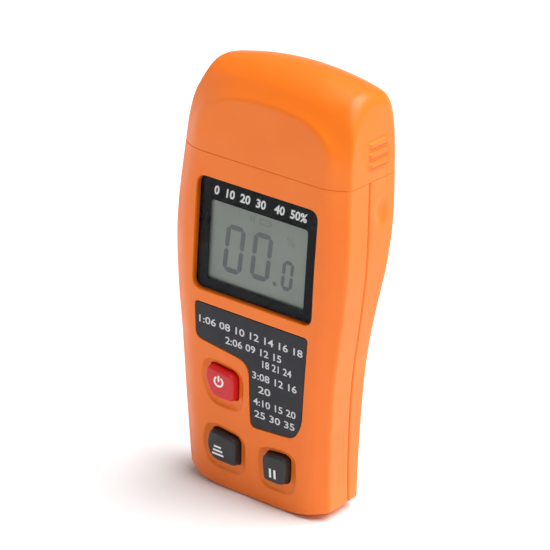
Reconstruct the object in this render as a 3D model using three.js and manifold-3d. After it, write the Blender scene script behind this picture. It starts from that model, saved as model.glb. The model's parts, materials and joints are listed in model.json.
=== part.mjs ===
// Pin-type moisture meter for wood: a waisted handheld case in two halves, a lift-off cap over two
// measuring pins, a recessed display window, a printed label and three push buttons.
// Millimetres. +Z is up the meter, -Y is the front, +X is the right side seen from the front.

import * as THREE from "three";
import { mergeVertices } from "three/addons/utils/BufferGeometryUtils.js";
import Module from "manifold-3d";

const wasm = await Module();
wasm.setup();

// ---------------------------------------------------------------- driving dimensions
const DEPTH_CENTRE = 0.55; // Y of the middle of the meter's depth, moved to 0 by the outer group
const SPLIT_Z = 102; // parting line between case and cap
const GAP = 0.3; // clearance kept between pieces that touch
const WALL = 2.2; // case wall

const FRONT_Y = -13.8; // foremost point of the arched front face
const FRONT_ARCH_Z = 60; // height of that point
const FRONT_ARCH_RADIUS = 481;
const FRONT_BEVEL_X = 5.6; // bevel between the front face and the sides
const FRONT_BEVEL_Y = 3.3;
const REAR_BEVEL_X = 4.2; // bevel between the rear face and the sides
const REAR_BEVEL_Y = 2.6;
const SEAM_DEPTH = 12.3; // case seam, behind the front face

const TOP_ARCH_RADIUS = 89; // arch of the cap across the width
const FOOT_FLAT = 12; // half width of the flat it stands on
const FOOT_ARCH_RADIUS = 88;
const FOOT_REAR_RADIUS = 3.2;

const CAP_WALL = 2.1;
const NECK_INSET = 2.8; // collar that the cap slides over
const NECK_TOP = 109;
const SHOULDER_Z = 99.8; // underside of the shoulder that carries the collar
const RIB_HEIGHTS = [106.85, 109.6, 112.4];
const RIB_LENGTH = 8.5;
const RIB_RISE = 0.5;

const WINDOW = { halfWidth: 20.8, low: 61.6, high: 95.0, corner: 3, lowY: -13.37, highY: -12.0 };
const VIEW = { halfWidth: 16.8, low: 64.6, high: 88.4 };
const PANE = 1.0;
const MASK = 0.2;
const PRINT_GAP = 0.15;
const WINDOW_PAD_REAR = -8.6;

const LCD = { halfWidth: 18.5, low: 62.9, high: 90.9, front: -8.4, rear: -6.2 };
const BOARD_FRONT = -4.2;
const BOARD_REAR = -2.6;
const BOARD_TOP = 97;

const BUTTON_RISE = 1.6;
const BUTTON_DISH = 0.7; // depth of the dish round a button
const BUTTON_DISH_MARGIN = 2.2;
const BUTTON_FLANGE = 1.0;
const SWITCH_FRONT = -6.9;

const CELL = { radius: 5.1, length: 44.5, nubRadius: 1.9, nub: 0.9 };
const CELLS = { lower: { y: 4.1, z: 79.8 }, upper: { y: 5.6, z: 90.4 } };
const TRAY = { halfWidth: 25.6, low: 73.6, high: 96.7, front: -2.2, wall: 0.95 };
const DOOR = { halfWidth: 23.4, low: 73.4, high: 98.2, corner: 1.5, thickness: 1.2, ledge: 0.8 };

const PIN = { x: 14, y: 2, radius: 0.95, low: 98, high: 121.6, point: 5 };
const PIN_SLEEVE = { radius: 4.2, top: 112.8 }; // stands on the pin block round each pin
const SCREWS = [
  { name: "lower_left", x: -19.4, z: 12 },
  { name: "lower_right", x: 19.4, z: 12 },
  { name: "upper_left", x: -18.5, z: 55 },
  { name: "upper_right", x: 18.5, z: 55 },
];
const SCREW = { head: 2.4, headHeight: 1.6, shaft: 1.25, length: 11 };

// ---------------------------------------------------------------- materials
function plastic(color, roughness = 0.45, metalness = 0) {
  return new THREE.MeshStandardMaterial({ color, roughness, metalness });
}
const orange = plastic(0xf0742c, 0.4);
const blackPlastic = plastic(0x1d1d21, 0.5);
const red = plastic(0xc41e2d, 0.5);
const rubberBlack = plastic(0x232326, 0.6);
const labelGrey = plastic(0x3a3a40, 0.6);
const greyPlastic = plastic(0xb9b9b4, 0.6);
const boardGreen = plastic(0x1d5a35, 0.5);
const steel = plastic(0xb8bbc0, 0.25, 1);
const brass = plastic(0xc9a04a, 0.3, 1);
const cellGreen = plastic(0x2f6d4a, 0.35, 0.3);
const lcdGlass = plastic(0x7d8076, 0.2);
const rubberGrey = plastic(0x77787c, 0.8);
const clear = new THREE.MeshStandardMaterial({
  color: 0xf2f4f5,
  roughness: 0.05,
  metalness: 0,
  transparent: true,
  opacity: 0.3,
});

// ---------------------------------------------------------------- solids and booleans
function solid(geometry) {
  const source = geometry.index ? geometry.toNonIndexed() : geometry.clone();
  source.deleteAttribute("normal");
  source.deleteAttribute("uv");
  const merged = mergeVertices(source, 1e-4);
  return new wasm.Manifold(
    new wasm.Mesh({
      numProp: 3,
      vertProperties: merged.attributes.position.array,
      triVerts: new Uint32Array(merged.index.array),
    }),
  );
}

function geometryOf(manifold) {
  const mesh = manifold.getMesh();
  const geometry = new THREE.BufferGeometry();
  geometry.setAttribute("position", new THREE.BufferAttribute(mesh.vertProperties, 3));
  geometry.setIndex(new THREE.BufferAttribute(mesh.triVerts, 1));
  const faceted = geometry.toNonIndexed();
  faceted.computeVertexNormals();
  return faceted;
}

function joined(...parts) {
  return parts.reduce((whole, part) => whole.add(part));
}

function box(x0, x1, y0, y1, z0, z1) {
  const geometry = new THREE.BoxGeometry(x1 - x0, y1 - y0, z1 - z0);
  geometry.translate((x0 + x1) / 2, (y0 + y1) / 2, (z0 + z1) / 2);
  return solid(geometry);
}

// Cylinders along each axis, from one end to the other.
function cylinderX(y, z, radius, x0, x1, sides = 24) {
  const geometry = new THREE.CylinderGeometry(radius, radius, x1 - x0, sides);
  geometry.rotateZ(-Math.PI / 2);
  geometry.translate((x0 + x1) / 2, y, z);
  return solid(geometry);
}

function cylinderY(x, z, radius, y0, y1, sides = 20) {
  const geometry = new THREE.CylinderGeometry(radius, radius, y1 - y0, sides);
  geometry.translate(x, (y0 + y1) / 2, z);
  return solid(geometry);
}

function cylinderZ(x, y, radius, z0, z1, sides = 20) {
  const geometry = new THREE.CylinderGeometry(radius, radius, z1 - z0, sides);
  geometry.rotateX(Math.PI / 2);
  geometry.translate(x, y, (z0 + z1) / 2);
  return solid(geometry);
}

// A front-view outline (X, Z) extruded through the depth, and a side-view outline (Y, Z) extruded
// through the width.
function extrudeThroughDepth(shape, y0, y1) {
  const geometry = new THREE.ExtrudeGeometry(shape, {
    depth: y1 - y0,
    bevelEnabled: false,
    curveSegments: 4,
  });
  geometry.rotateX(Math.PI / 2);
  geometry.translate(0, y1, 0);
  return solid(geometry);
}

function extrudeThroughWidth(shape, x0, x1) {
  const geometry = new THREE.ExtrudeGeometry(shape, {
    depth: x1 - x0,
    bevelEnabled: false,
    curveSegments: 8,
  });
  const turn = new THREE.Matrix4().makeBasis(
    new THREE.Vector3(0, 1, 0),
    new THREE.Vector3(0, 0, 1),
    new THREE.Vector3(1, 0, 0),
  );
  geometry.applyMatrix4(turn);
  geometry.translate(x0, 0, 0);
  return solid(geometry);
}

// ---------------------------------------------------------------- outlines and profiles
// A closed outline whose corners are rounded: each point is [x, z, radius].
function roundedOutline(points) {
  const shape = new THREE.Shape();
  points.forEach(([x, z, radius], i) => {
    const before = points[(i + points.length - 1) % points.length];
    const after = points[(i + 1) % points.length];
    const towards = ([px, pz]) => {
      const share = Math.min(radius / Math.hypot(px - x, pz - z), 0.48);
      return [x + (px - x) * share, z + (pz - z) * share];
    };
    const start = towards(before);
    if (i === 0) shape.moveTo(...start);
    else shape.lineTo(...start);
    shape.quadraticCurveTo(x, z, ...towards(after));
  });
  shape.closePath();
  return shape;
}

function roundedRectangle(halfWidth, low, high, radius) {
  return roundedOutline([
    [-halfWidth, low, radius],
    [halfWidth, low, radius],
    [halfWidth, high, radius],
    [-halfWidth, high, radius],
  ]);
}

// The same anticlockwise outline pushed out by the margin all round.
function grown(points, margin) {
  const count = points.length;
  const outward = points.map(([x, z], i) => {
    const next = points[(i + 1) % count];
    const length = Math.hypot(next[0] - x, next[1] - z);
    return [(next[1] - z) / length, (x - next[0]) / length];
  });
  return points.map(([x, z, radius], i) => {
    const [ax, az] = outward[(i + count - 1) % count];
    const [bx, bz] = outward[i];
    const share = margin / (1 + ax * bx + az * bz);
    const stretch = share * (ax * bz - az * bx);
    return [x + (ax + bx) * share, z + (az + bz) * share, Math.max(radius + stretch, 0.1)];
  });
}

// A smooth curve through a few points, as a function of the first coordinate.
function smoothThrough(points) {
  const last = points.length - 1;
  const slopes = points.map((_, i) => {
    const before = points[Math.max(i - 1, 0)];
    const after = points[Math.min(i + 1, last)];
    return (after[1] - before[1]) / (after[0] - before[0]);
  });
  return (x) => {
    let i = 0;
    while (i < last - 1 && x > points[i + 1][0]) i += 1;
    const run = points[i + 1][0] - points[i][0];
    const t = THREE.MathUtils.clamp((x - points[i][0]) / run, 0, 1);
    const rise = points[i + 1][1] - points[i][1];
    const a = slopes[i] * run - rise;
    const b = rise - slopes[i + 1] * run;
    return points[i][1] + rise * t + t * (1 - t) * (a * (1 - t) + b * t);
  };
}

function frontY(z) {
  return FRONT_Y + (z - FRONT_ARCH_Z) ** 2 / (2 * FRONT_ARCH_RADIUS);
}

const halfWidthAt = smoothThrough([
  [-6, 25.0],
  [20, 25.7],
  [44, 27.0],
  [62, 28.9],
  [79, 29.9],
  [100, 28.8],
  [116, 27.5],
  [140, 22.8],
]);

// Rear edge of the side faces: thin handle, thick head.
const rearEdgeY = smoothThrough([
  [-6, 6.7],
  [20, 5.7],
  [46, 5.2],
  [60, 5.8],
  [76, 9.0],
  [92, 11.7],
  [116, 12.4],
  [140, 13.2],
]);

// Roof of the cap along its middle, from the brow over the front face to the rear.
const roofZ = smoothThrough([
  [-26, 110],
  [-10.1, 120.2],
  [-6, 125.3],
  [-2, 128.1],
  [2, 129.15],
  [6, 128.8],
  [10, 127.8],
  [14, 126.2],
  [20, 123.2],
]);

// ---------------------------------------------------------------- lofts of the outer form
// Closed skin over a stack of convex rings with the same number of points.
function loft(rings) {
  const count = rings[0].length;
  const last = (rings.length - 1) * count;
  const faces = [];
  for (let r = 0; r + 1 < rings.length; r += 1) {
    for (let i = 0; i < count; i += 1) {
      const a = r * count + i;
      const b = r * count + ((i + 1) % count);
      faces.push(a, b, b + count, a, b + count, a + count);
    }
  }
  for (let i = 1; i + 1 < count; i += 1) {
    faces.push(0, i + 1, i);
    faces.push(last, last + i, last + i + 1);
  }
  const geometry = new THREE.BufferGeometry();
  geometry.setAttribute("position", new THREE.Float32BufferAttribute(rings.flat(2), 3));
  geometry.setIndex(faces);
  return solid(geometry);
}

// Cross-section of the meter at height z, moved inwards by the inset.
function section(z, inset) {
  const side = halfWidthAt(z) - inset;
  const face = side - FRONT_BEVEL_X;
  const back = side - REAR_BEVEL_X;
  const front = frontY(z) + inset;
  const rear = rearEdgeY(z) + REAR_BEVEL_Y - inset;
  return [
    [-face, front, z],
    [face, front, z],
    [side, front + FRONT_BEVEL_Y, z],
    [side, rear - REAR_BEVEL_Y, z],
    [back, rear, z],
    [-back, rear, z],
    [-side, rear - REAR_BEVEL_Y, z],
    [-side, front + FRONT_BEVEL_Y, z],
  ];
}

function bar(inset, z0, z1) {
  const steps = Math.max(1, Math.ceil((z1 - z0) / 5));
  const rings = [];
  for (let i = 0; i <= steps; i += 1) rings.push(section(z0 + ((z1 - z0) * i) / steps, inset));
  return loft(rings);
}

// Everything under the arched roof, lowered by the given drop.
function underRoof(drop) {
  const reach = 34;
  const across = 12;
  const rings = [];
  for (let y = -22; y <= 24; y += y < 8 ? 2 : 4) {
    const ring = [];
    ring.push([reach, y, -20]);
    for (let i = 0; i <= across; i += 1) {
      const x = reach * (1 - (2 * i) / across);
      ring.push([x, y, roofZ(y) - drop - x ** 2 / (2 * TOP_ARCH_RADIUS)]);
    }
    ring.push([-reach, y, -20]);
    rings.push(ring.reverse());
  }
  return loft(rings);
}

// Everything above the foot, which is flat in the middle, arched to the sides and rounded behind.
function aboveFoot(rise) {
  const reach = 32;
  const steps = 6;
  const front = new THREE.Shape();
  front.moveTo(-FOOT_FLAT, rise);
  front.lineTo(FOOT_FLAT, rise);
  for (let i = 1; i <= steps; i += 1) {
    const x = FOOT_FLAT + ((reach - FOOT_FLAT) * i) / steps;
    front.lineTo(x, rise + (x - FOOT_FLAT) * (x + FOOT_FLAT) / (2 * FOOT_ARCH_RADIUS));
  }
  front.lineTo(reach, 150);
  front.lineTo(-reach, 150);
  for (let i = steps; i >= 1; i -= 1) {
    const x = FOOT_FLAT + ((reach - FOOT_FLAT) * i) / steps;
    front.lineTo(-x, rise + (x - FOOT_FLAT) * (x + FOOT_FLAT) / (2 * FOOT_ARCH_RADIUS));
  }
  const rear = rearEdgeY(0) + REAR_BEVEL_Y - rise;
  const side = new THREE.Shape();
  side.moveTo(-30, rise);
  side.lineTo(rear - FOOT_REAR_RADIUS, rise);
  side.absarc(rear - FOOT_REAR_RADIUS, rise + FOOT_REAR_RADIUS, FOOT_REAR_RADIUS, -Math.PI / 2, 0);
  side.lineTo(rear + 0.5, 12);
  side.lineTo(30, 40);
  side.lineTo(30, 150);
  side.lineTo(-30, 150);
  return extrudeThroughDepth(front, -40, 40).intersect(extrudeThroughWidth(side, -40, 40));
}

// ---------------------------------------------------------------- case halves
const caseTop = SPLIT_Z - GAP / 2;

function caseShell() {
  const outside = joined(
    bar(0, -4, caseTop).intersect(aboveFoot(0)),
    bar(NECK_INSET, SHOULDER_Z - 4, NECK_TOP),
  );
  const inside = joined(
    bar(WALL, -4, SHOULDER_Z).intersect(aboveFoot(WALL)),
    bar(NECK_INSET + CAP_WALL, SHOULDER_Z - 1, NECK_TOP + 1),
  );
  return outside.subtract(inside);
}

// Everything in front of the case seam, which runs parallel to the front face.
function beforeSeam(offset) {
  const shape = new THREE.Shape();
  shape.moveTo(-40, -10);
  for (let z = -10; z <= 150; z += 10) shape.lineTo(frontY(z) + SEAM_DEPTH + offset, z);
  shape.lineTo(-40, 150);
  return extrudeThroughWidth(shape, -40, 40);
}

function screwBoss(screw, radius, y0, y1) {
  return cylinderY(screw.x, screw.z, radius, y0, y1);
}

// Depth of the screw heads' seats under the rear face.
function screwSeatY(screw) {
  return rearEdgeY(screw.z) + REAR_BEVEL_Y - 3.2;
}

// Places a piece drawn on the plane y = 0 around z = 0 into the tilted window.
function inWindow(part) {
  const low = WINDOW.low;
  const high = WINDOW.high;
  const tilt = Math.atan2(WINDOW.highY - WINDOW.lowY, high - low);
  return part
    .rotate([(-tilt * 180) / Math.PI, 0, 0])
    .translate([0, (WINDOW.lowY + WINDOW.highY) / 2, (low + high) / 2]);
}

function windowPlate(halfWidth, halfHeight, radius, y0, y1) {
  const shape = roundedRectangle(halfWidth, -halfHeight, halfHeight, radius);
  return inWindow(extrudeThroughDepth(shape, y0, y1));
}

const windowHalfHeight = (WINDOW.high - WINDOW.low) / 2;
const windowFloor = PANE + MASK + 2 * PRINT_GAP;

const powerOutline = [
  [-12.6, 30.1, 2.2],
  [-4.85, 30.1, 1.4],
  [-4.6, 38.7, 2.4],
  [-14.3, 39.7, 1.8],
  [-15.0, 35.9, 1.5],
];
const modeOutline = [
  [-13.6, 9.2, 2.8],
  [-4.7, 9.2, 1.2],
  [-4.3, 18.0, 2.2],
  [-14.0, 19.2, 2.6],
  [-15.0, 13.9, 1.5],
];
const holdOutline = [
  [5.3, 8.9, 1.4],
  [12.9, 8.9, 2.6],
  [13.5, 13.5, 1.5],
  [13.6, 18.4, 2.6],
  [5.0, 17.6, 2.4],
];
const labelOutline = [
  [15.6, 25.2, 2.6],
  [18.2, 30.5, 2.5],
  [19.8, 57.5, 1.2],
  [-19.7, 57.5, 1.2],
  [-19.2, 46.6, 2.2],
  [-10.4, 45.4, 1],
  [-0.2, 44.0, 4.5],
  [0.2, 24.0, 2.2],
];

// The part of an outline's prism that lies between two depths under the front skin.
function skinPatch(points, outer, inner) {
  const prism = extrudeThroughDepth(roundedOutline(points), -30, 0);
  return prism.intersect(bar(outer, 0, 100)).subtract(bar(inner, -2, 102));
}

function buttonCut(points) {
  const hole = extrudeThroughDepth(roundedOutline(grown(points, GAP)), -30, 0);
  const dish = skinPatch(grown(points, BUTTON_DISH_MARGIN), -2, BUTTON_DISH);
  return joined(hole, dish);
}

function frontCasing() {
  const padOutline = roundedRectangle(WINDOW.halfWidth + 1.6, WINDOW.low - 1.5, WINDOW.high + 1.5, 3.5);
  const pad = extrudeThroughDepth(padOutline, -30, WINDOW_PAD_REAR).intersect(bar(0.1, 50, 101));
  const window = windowPlate(WINDOW.halfWidth + 0.15, windowHalfHeight + 0.15, WINDOW.corner, -20, windowFloor);
  const view = extrudeThroughDepth(roundedRectangle(VIEW.halfWidth, VIEW.low, VIEW.high, 0.8), -30, 0);
  let shell = caseShell().intersect(beforeSeam(-GAP / 2)).add(pad);
  for (const screw of SCREWS) {
    const top = frontY(screw.z) + SEAM_DEPTH - GAP;
    const boss = screwBoss(screw, 2.7, frontY(screw.z) + 1, top);
    shell = shell.add(boss).subtract(screwBoss(screw, 1.6, frontY(screw.z) + 3.5, 10));
  }
  return shell
    .subtract(window)
    .subtract(view)
    .subtract(skinPatch(grown(labelOutline, 0.15), -2, 0.9))
    .subtract(buttonCut(powerOutline))
    .subtract(buttonCut(modeOutline))
    .subtract(buttonCut(holdOutline));
}

// Oval thumb dimple on each side by the battery door.
function sideDimple(side) {
  const dimple = new THREE.SphereGeometry(1, 14, 8);
  dimple.scale(1.1, 2.4, 3.6);
  dimple.translate(side * (halfWidthAt(92.5) + 0.35), 5.2, 92.5);
  return solid(dimple);
}

function doorPrism(margin) {
  const { halfWidth, low, high, corner } = DOOR;
  const shape = roundedRectangle(halfWidth + margin, low - margin, high + margin, corner);
  return extrudeThroughDepth(shape, 3, 30);
}

function rearCasing() {
  let shell = caseShell().subtract(beforeSeam(GAP / 2));
  for (const screw of SCREWS) {
    const seat = screwSeatY(screw);
    const boss = screwBoss(screw, 3.9, frontY(screw.z) + SEAM_DEPTH + GAP, seat + 2.5);
    shell = shell
      .add(boss.intersect(bar(0.5, -2, 100)))
      .subtract(screwBoss(screw, SCREW.head + 0.35, seat, 30))
      .subtract(screwBoss(screw, SCREW.shaft + 0.35, -10, 30));
  }
  const seatCut = doorPrism(GAP).subtract(bar(DOOR.thickness + GAP, 60, 110));
  return shell
    .subtract(seatCut)
    .subtract(doorPrism(-DOOR.ledge))
    .subtract(sideDimple(1))
    .subtract(sideDimple(-1));
}

function batteryDoor() {
  const skin = bar(0, 68, 101).subtract(bar(DOOR.thickness, 60, 110));
  const rimPrism = doorPrism(-DOOR.ledge - 0.4).subtract(doorPrism(-DOOR.ledge - 1.4));
  const rim = rimPrism.intersect(bar(DOOR.thickness - 0.1, 68, 101)).subtract(bar(WALL, 60, 110));
  const notch = new THREE.SphereGeometry(1, 16, 8);
  notch.scale(5, 0.9, 2);
  notch.translate(0, rearEdgeY(94) + REAR_BEVEL_Y, 94);
  return doorPrism(0).intersect(skin).add(rim).subtract(solid(notch));
}

// ---------------------------------------------------------------- cap
function gripRib(side, z) {
  const x0 = side > 0 ? 20 : -40;
  const x1 = side > 0 ? 40 : -20;
  const strip = box(x0, x1, -0.2, RIB_LENGTH, z - 0.65, z + 0.65);
  return strip.intersect(bar(-RIB_RISE, 103, 116)).subtract(bar(0.6, 102, 117));
}

function protectiveCap() {
  const outside = bar(0, SPLIT_Z + GAP / 2, 136).intersect(underRoof(0));
  const inside = bar(CAP_WALL, SPLIT_Z - 2, 137).intersect(underRoof(CAP_WALL));
  let cap = outside.subtract(inside);
  for (const z of RIB_HEIGHTS) cap = joined(cap, gripRib(1, z), gripRib(-1, z));
  return cap;
}

// ---------------------------------------------------------------- display
function displayPane() {
  return windowPlate(WINDOW.halfWidth, windowHalfHeight, WINDOW.corner, 0, PANE);
}

function displayMask() {
  const y0 = PANE + PRINT_GAP;
  const viewShape = roundedRectangle(
    VIEW.halfWidth - 0.1,
    VIEW.low - (WINDOW.low + WINDOW.high) / 2 + 0.1,
    VIEW.high - (WINDOW.low + WINDOW.high) / 2 - 0.1,
    0.8,
  );
  const border = windowPlate(WINDOW.halfWidth - 0.1, windowHalfHeight - 0.1, WINDOW.corner, y0, y0 + MASK);
  return border.subtract(inWindow(extrudeThroughDepth(viewShape, -2, 4)));
}

function lcdPanel() {
  return box(-LCD.halfWidth, LCD.halfWidth, LCD.front, LCD.rear, LCD.low, LCD.high);
}

function lcdHolder() {
  const outer = box(-20.2, 20.2, LCD.front, BOARD_FRONT - 0.2, LCD.low - 1.7, LCD.high + 1.7);
  const margin = 0.3;
  return outer.subtract(
    box(-LCD.halfWidth - margin, LCD.halfWidth + margin, -12, 0, LCD.low - margin, LCD.high + margin),
  );
}

function zebraStrip(z) {
  return box(-17.5, 17.5, LCD.rear + 0.2, BOARD_FRONT - 0.2, z - 1, z + 1);
}

// ---------------------------------------------------------------- circuit board and what is on it
function mainBoard() {
  const half = [
    [13.2, 7],
    [13.2, 16.5],
    [18, 17],
    [18, 49.5],
    [14, 50.5],
    [14, 59.5],
    [18.8, 60.5],
    [18.8, BOARD_TOP],
  ];
  const shape = new THREE.Shape();
  half.forEach(([x, z], i) => (i ? shape.lineTo(x, z) : shape.moveTo(x, z)));
  half.reverse().forEach(([x, z]) => shape.lineTo(-x, z));
  return extrudeThroughDepth(shape, BOARD_FRONT, BOARD_REAR);
}

function chip(x, z, half, height) {
  const rear = BOARD_REAR + 0.2;
  return box(x - half, x + half, rear, rear + height, z - half, z + half);
}

function buzzer() {
  const rear = BOARD_REAR + 0.2;
  return cylinderY(7, 26, 5.5, rear, rear + 4.2).subtract(cylinderY(7, 26, 1, rear + 2, rear + 9));
}

function outlineCentre(points) {
  const xs = points.map((p) => p[0]);
  const zs = points.map((p) => p[1]);
  return [(Math.min(...xs) + Math.max(...xs)) / 2, (Math.min(...zs) + Math.max(...zs)) / 2];
}

function switchBody([x, z]) {
  const body = box(x - 3, x + 3, SWITCH_FRONT, BOARD_FRONT - 0.2, z - 3, z + 3);
  return body.subtract(cylinderY(x, z, 1.9, SWITCH_FRONT - 1, SWITCH_FRONT + 1.7));
}

function switchPlunger([x, z]) {
  const front = frontY(z) + WALL + GAP + BUTTON_FLANGE + GAP;
  return cylinderY(x, z, 1.6, front, SWITCH_FRONT + 0.8);
}

// ---------------------------------------------------------------- buttons
function button(points) {
  const [, z] = outlineCentre(points);
  const flangeFront = WALL + GAP;
  const key = extrudeThroughDepth(roundedOutline(points), -30, frontY(z) + flangeFront + BUTTON_FLANGE);
  const flangePrism = extrudeThroughDepth(
    roundedOutline(grown(points, 0.9)),
    -30,
    frontY(z) + flangeFront + BUTTON_FLANGE,
  );
  return key.intersect(bar(-BUTTON_RISE, 0, 100)).add(flangePrism.intersect(bar(flangeFront, 2, 100)));
}

// ---------------------------------------------------------------- pins
function pinBlock() {
  const inset = NECK_INSET + CAP_WALL + GAP;
  let block = joined(
    bar(inset, SHOULDER_Z - 1, NECK_TOP + 1),
    bar(WALL + GAP + 0.3, SHOULDER_Z - GAP - 1.1, SHOULDER_Z - GAP),
  );
  for (const side of [-1, 1]) {
    block = block.subtract(cylinderZ(side * PIN.x, PIN.y, PIN.radius + GAP, 90, 120));
  }
  return block;
}

function pinSleeve(side) {
  const x = side * PIN.x;
  const sleeve = cylinderZ(x, PIN.y, PIN_SLEEVE.radius, NECK_TOP + 1 + GAP, PIN_SLEEVE.top, 24);
  return sleeve.subtract(cylinderZ(x, PIN.y, PIN.radius + GAP, 90, 120));
}

function measuringPin(side) {
  const profile = [
    new THREE.Vector2(0, PIN.low),
    new THREE.Vector2(PIN.radius, PIN.low),
    new THREE.Vector2(PIN.radius, PIN.high - PIN.point),
    new THREE.Vector2(0.12, PIN.high),
    new THREE.Vector2(0, PIN.high),
  ];
  const geometry = new THREE.LatheGeometry(profile, 20);
  geometry.rotateX(Math.PI / 2);
  geometry.translate(side * PIN.x, PIN.y, 0);
  return solid(geometry);
}

function pinNut(side) {
  const nut = cylinderZ(side * PIN.x, PIN.y, 3.3, 113.1, 115.7, 6);
  return nut.subtract(cylinderZ(side * PIN.x, PIN.y, PIN.radius + GAP, 110, 118));
}

// Strip from the front of the board, over its top edge, to the foot of the pin.
function pinContact(side) {
  const x = side * PIN.x;
  const front = BOARD_FRONT - 0.7;
  const top = PIN.low - 0.2;
  return joined(
    box(x - 2, x + 2, front, front + 0.5, 94, top),
    box(x - 2, x + 2, front, PIN.y + 1.4, top - 0.5, top),
  );
}

// ---------------------------------------------------------------- battery compartment
function batteryTray() {
  const { halfWidth, low, high, front, wall } = TRAY;
  const outer = box(-halfWidth, halfWidth, front, 20, low, high);
  const inner = box(-halfWidth + wall, halfWidth - wall, front + wall, 30, low + wall, high - wall);
  const rib = box(-16, 16, front, 0.2, 84.6, 85.6);
  return outer.subtract(inner).add(rib).intersect(bar(WALL + GAP, 70, 100));
}

// The positive end points to +X or -X.
function batteryCell({ y, z }, positive) {
  const half = CELL.length / 2;
  const body = cylinderX(y, z, CELL.radius, -half, half - CELL.nub);
  const nub = cylinderX(y, z, CELL.nubRadius, half - CELL.nub - 0.5, half);
  const cell = body.add(nub);
  return positive > 0 ? cell : cell.mirror([1, 0, 0]);
}

function contactPlate(side) {
  const outer = TRAY.halfWidth - TRAY.wall - 0.25;
  const x0 = side > 0 ? outer - 0.5 : -outer;
  const low = CELLS.lower.z - 3.5;
  const high = CELLS.upper.z + 3.5;
  return box(x0, x0 + 0.5, 1.6, 7.6, low, high);
}

// Conical compression spring between a contact plate and a cell's flat end.
function batterySpring({ y, z }, side) {
  const turns = 3;
  const plateFace = TRAY.halfWidth - TRAY.wall - 1.1;
  const cellFace = CELL.length / 2 + 0.55;
  class Coil extends THREE.Curve {
    getPoint(t, target = new THREE.Vector3()) {
      const radius = THREE.MathUtils.lerp(3.2, 1.7, t);
      const angle = 2 * Math.PI * turns * t;
      const x = THREE.MathUtils.lerp(plateFace, cellFace, t);
      return target.set(side * x, y + radius * Math.cos(angle), z + radius * Math.sin(angle));
    }
  }
  const wire = new THREE.Shape();
  wire.absarc(0, 0, 0.22, 0, 2 * Math.PI);
  const geometry = new THREE.ExtrudeGeometry(wire, {
    steps: turns * 14,
    curveSegments: 3,
    bevelEnabled: false,
    extrudePath: new Coil(),
  });
  return solid(geometry);
}

// ---------------------------------------------------------------- fasteners
function caseScrew(screw) {
  const seat = screwSeatY(screw) + GAP;
  const head = cylinderY(screw.x, screw.z, SCREW.head, seat, seat + SCREW.headHeight);
  const shaft = cylinderY(screw.x, screw.z, SCREW.shaft, seat - SCREW.length, seat + 0.5, 16);
  const slot = box(-1.6, 1.6, seat + 0.8, seat + 5, -0.3, 0.3);
  const cross = slot.add(slot.rotate([0, 90, 0])).translate([screw.x, 0, screw.z]);
  return head.add(shaft).subtract(cross);
}

// ---------------------------------------------------------------- assembly
const meter = new THREE.Group();
meter.position.y = -DEPTH_CENTRE;

function place(name, part, material) {
  const mesh = new THREE.Mesh(geometryOf(part), material);
  mesh.name = name;
  meter.add(mesh);
}

place("front_casing", frontCasing(), orange);
place("rear_casing", rearCasing(), orange);
place("protective_cap", protectiveCap(), orange);
place("battery_door", batteryDoor(), orange);
place("label_plate", skinPatch(labelOutline, 0.15, 0.6), labelGrey);

place("display_pane", displayPane(), clear);
place("display_mask", displayMask(), blackPlastic);
place("lcd_panel", lcdPanel(), lcdGlass);
place("lcd_holder", lcdHolder(), greyPlastic);
place("zebra_strip_lower", zebraStrip(LCD.low + 1.6), rubberGrey);
place("zebra_strip_upper", zebraStrip(LCD.high - 1.6), rubberGrey);

place("main_board", mainBoard(), boardGreen);
place("control_chip", chip(-4, 44, 5, 1.6), blackPlastic);
place("sensor_chip", chip(9, 52.5, 2.2, 1.2), blackPlastic);
place("buzzer", buzzer(), blackPlastic);

for (const [name, outline, material] of [
  ["power", powerOutline, red],
  ["mode", modeOutline, rubberBlack],
  ["hold", holdOutline, rubberBlack],
]) {
  const centre = outlineCentre(outline);
  place(name + "_button", button(outline), material);
  place(name + "_plunger", switchPlunger(centre), greyPlastic);
  place(name + "_switch", switchBody(centre), blackPlastic);
}

place("pin_block", pinBlock(), blackPlastic);
for (const [name, side] of [
  ["left", -1],
  ["right", 1],
]) {
  place("measuring_pin_" + name, measuringPin(side), steel);
  place("pin_sleeve_" + name, pinSleeve(side), blackPlastic);
  place("pin_nut_" + name, pinNut(side), brass);
  place("pin_contact_" + name, pinContact(side), brass);
  place("battery_contact_" + name, contactPlate(side), steel);
}

place("battery_tray", batteryTray(), blackPlastic);
place("battery_cell_lower", batteryCell(CELLS.lower, 1), cellGreen);
place("battery_cell_upper", batteryCell(CELLS.upper, -1), cellGreen);
place("battery_spring_lower", batterySpring(CELLS.lower, -1), steel);
place("battery_spring_upper", batterySpring(CELLS.upper, 1), steel);

for (const screw of SCREWS) place("case_screw_" + screw.name, caseScrew(screw), steel);

export default meter;
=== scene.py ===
# Looks of the pin moisture meter: high-resolution skins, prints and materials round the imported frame.
# Shapes are worked out in millimetres with Z up the meter, -Y out of the display and X to the right,
# and put into the frame, in metres, when each piece is finished.

import json
import math

import bmesh
import bpy
import numpy as np
from mathutils import Matrix, Vector
from mathutils.geometry import delaunay_2d_cdt


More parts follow.
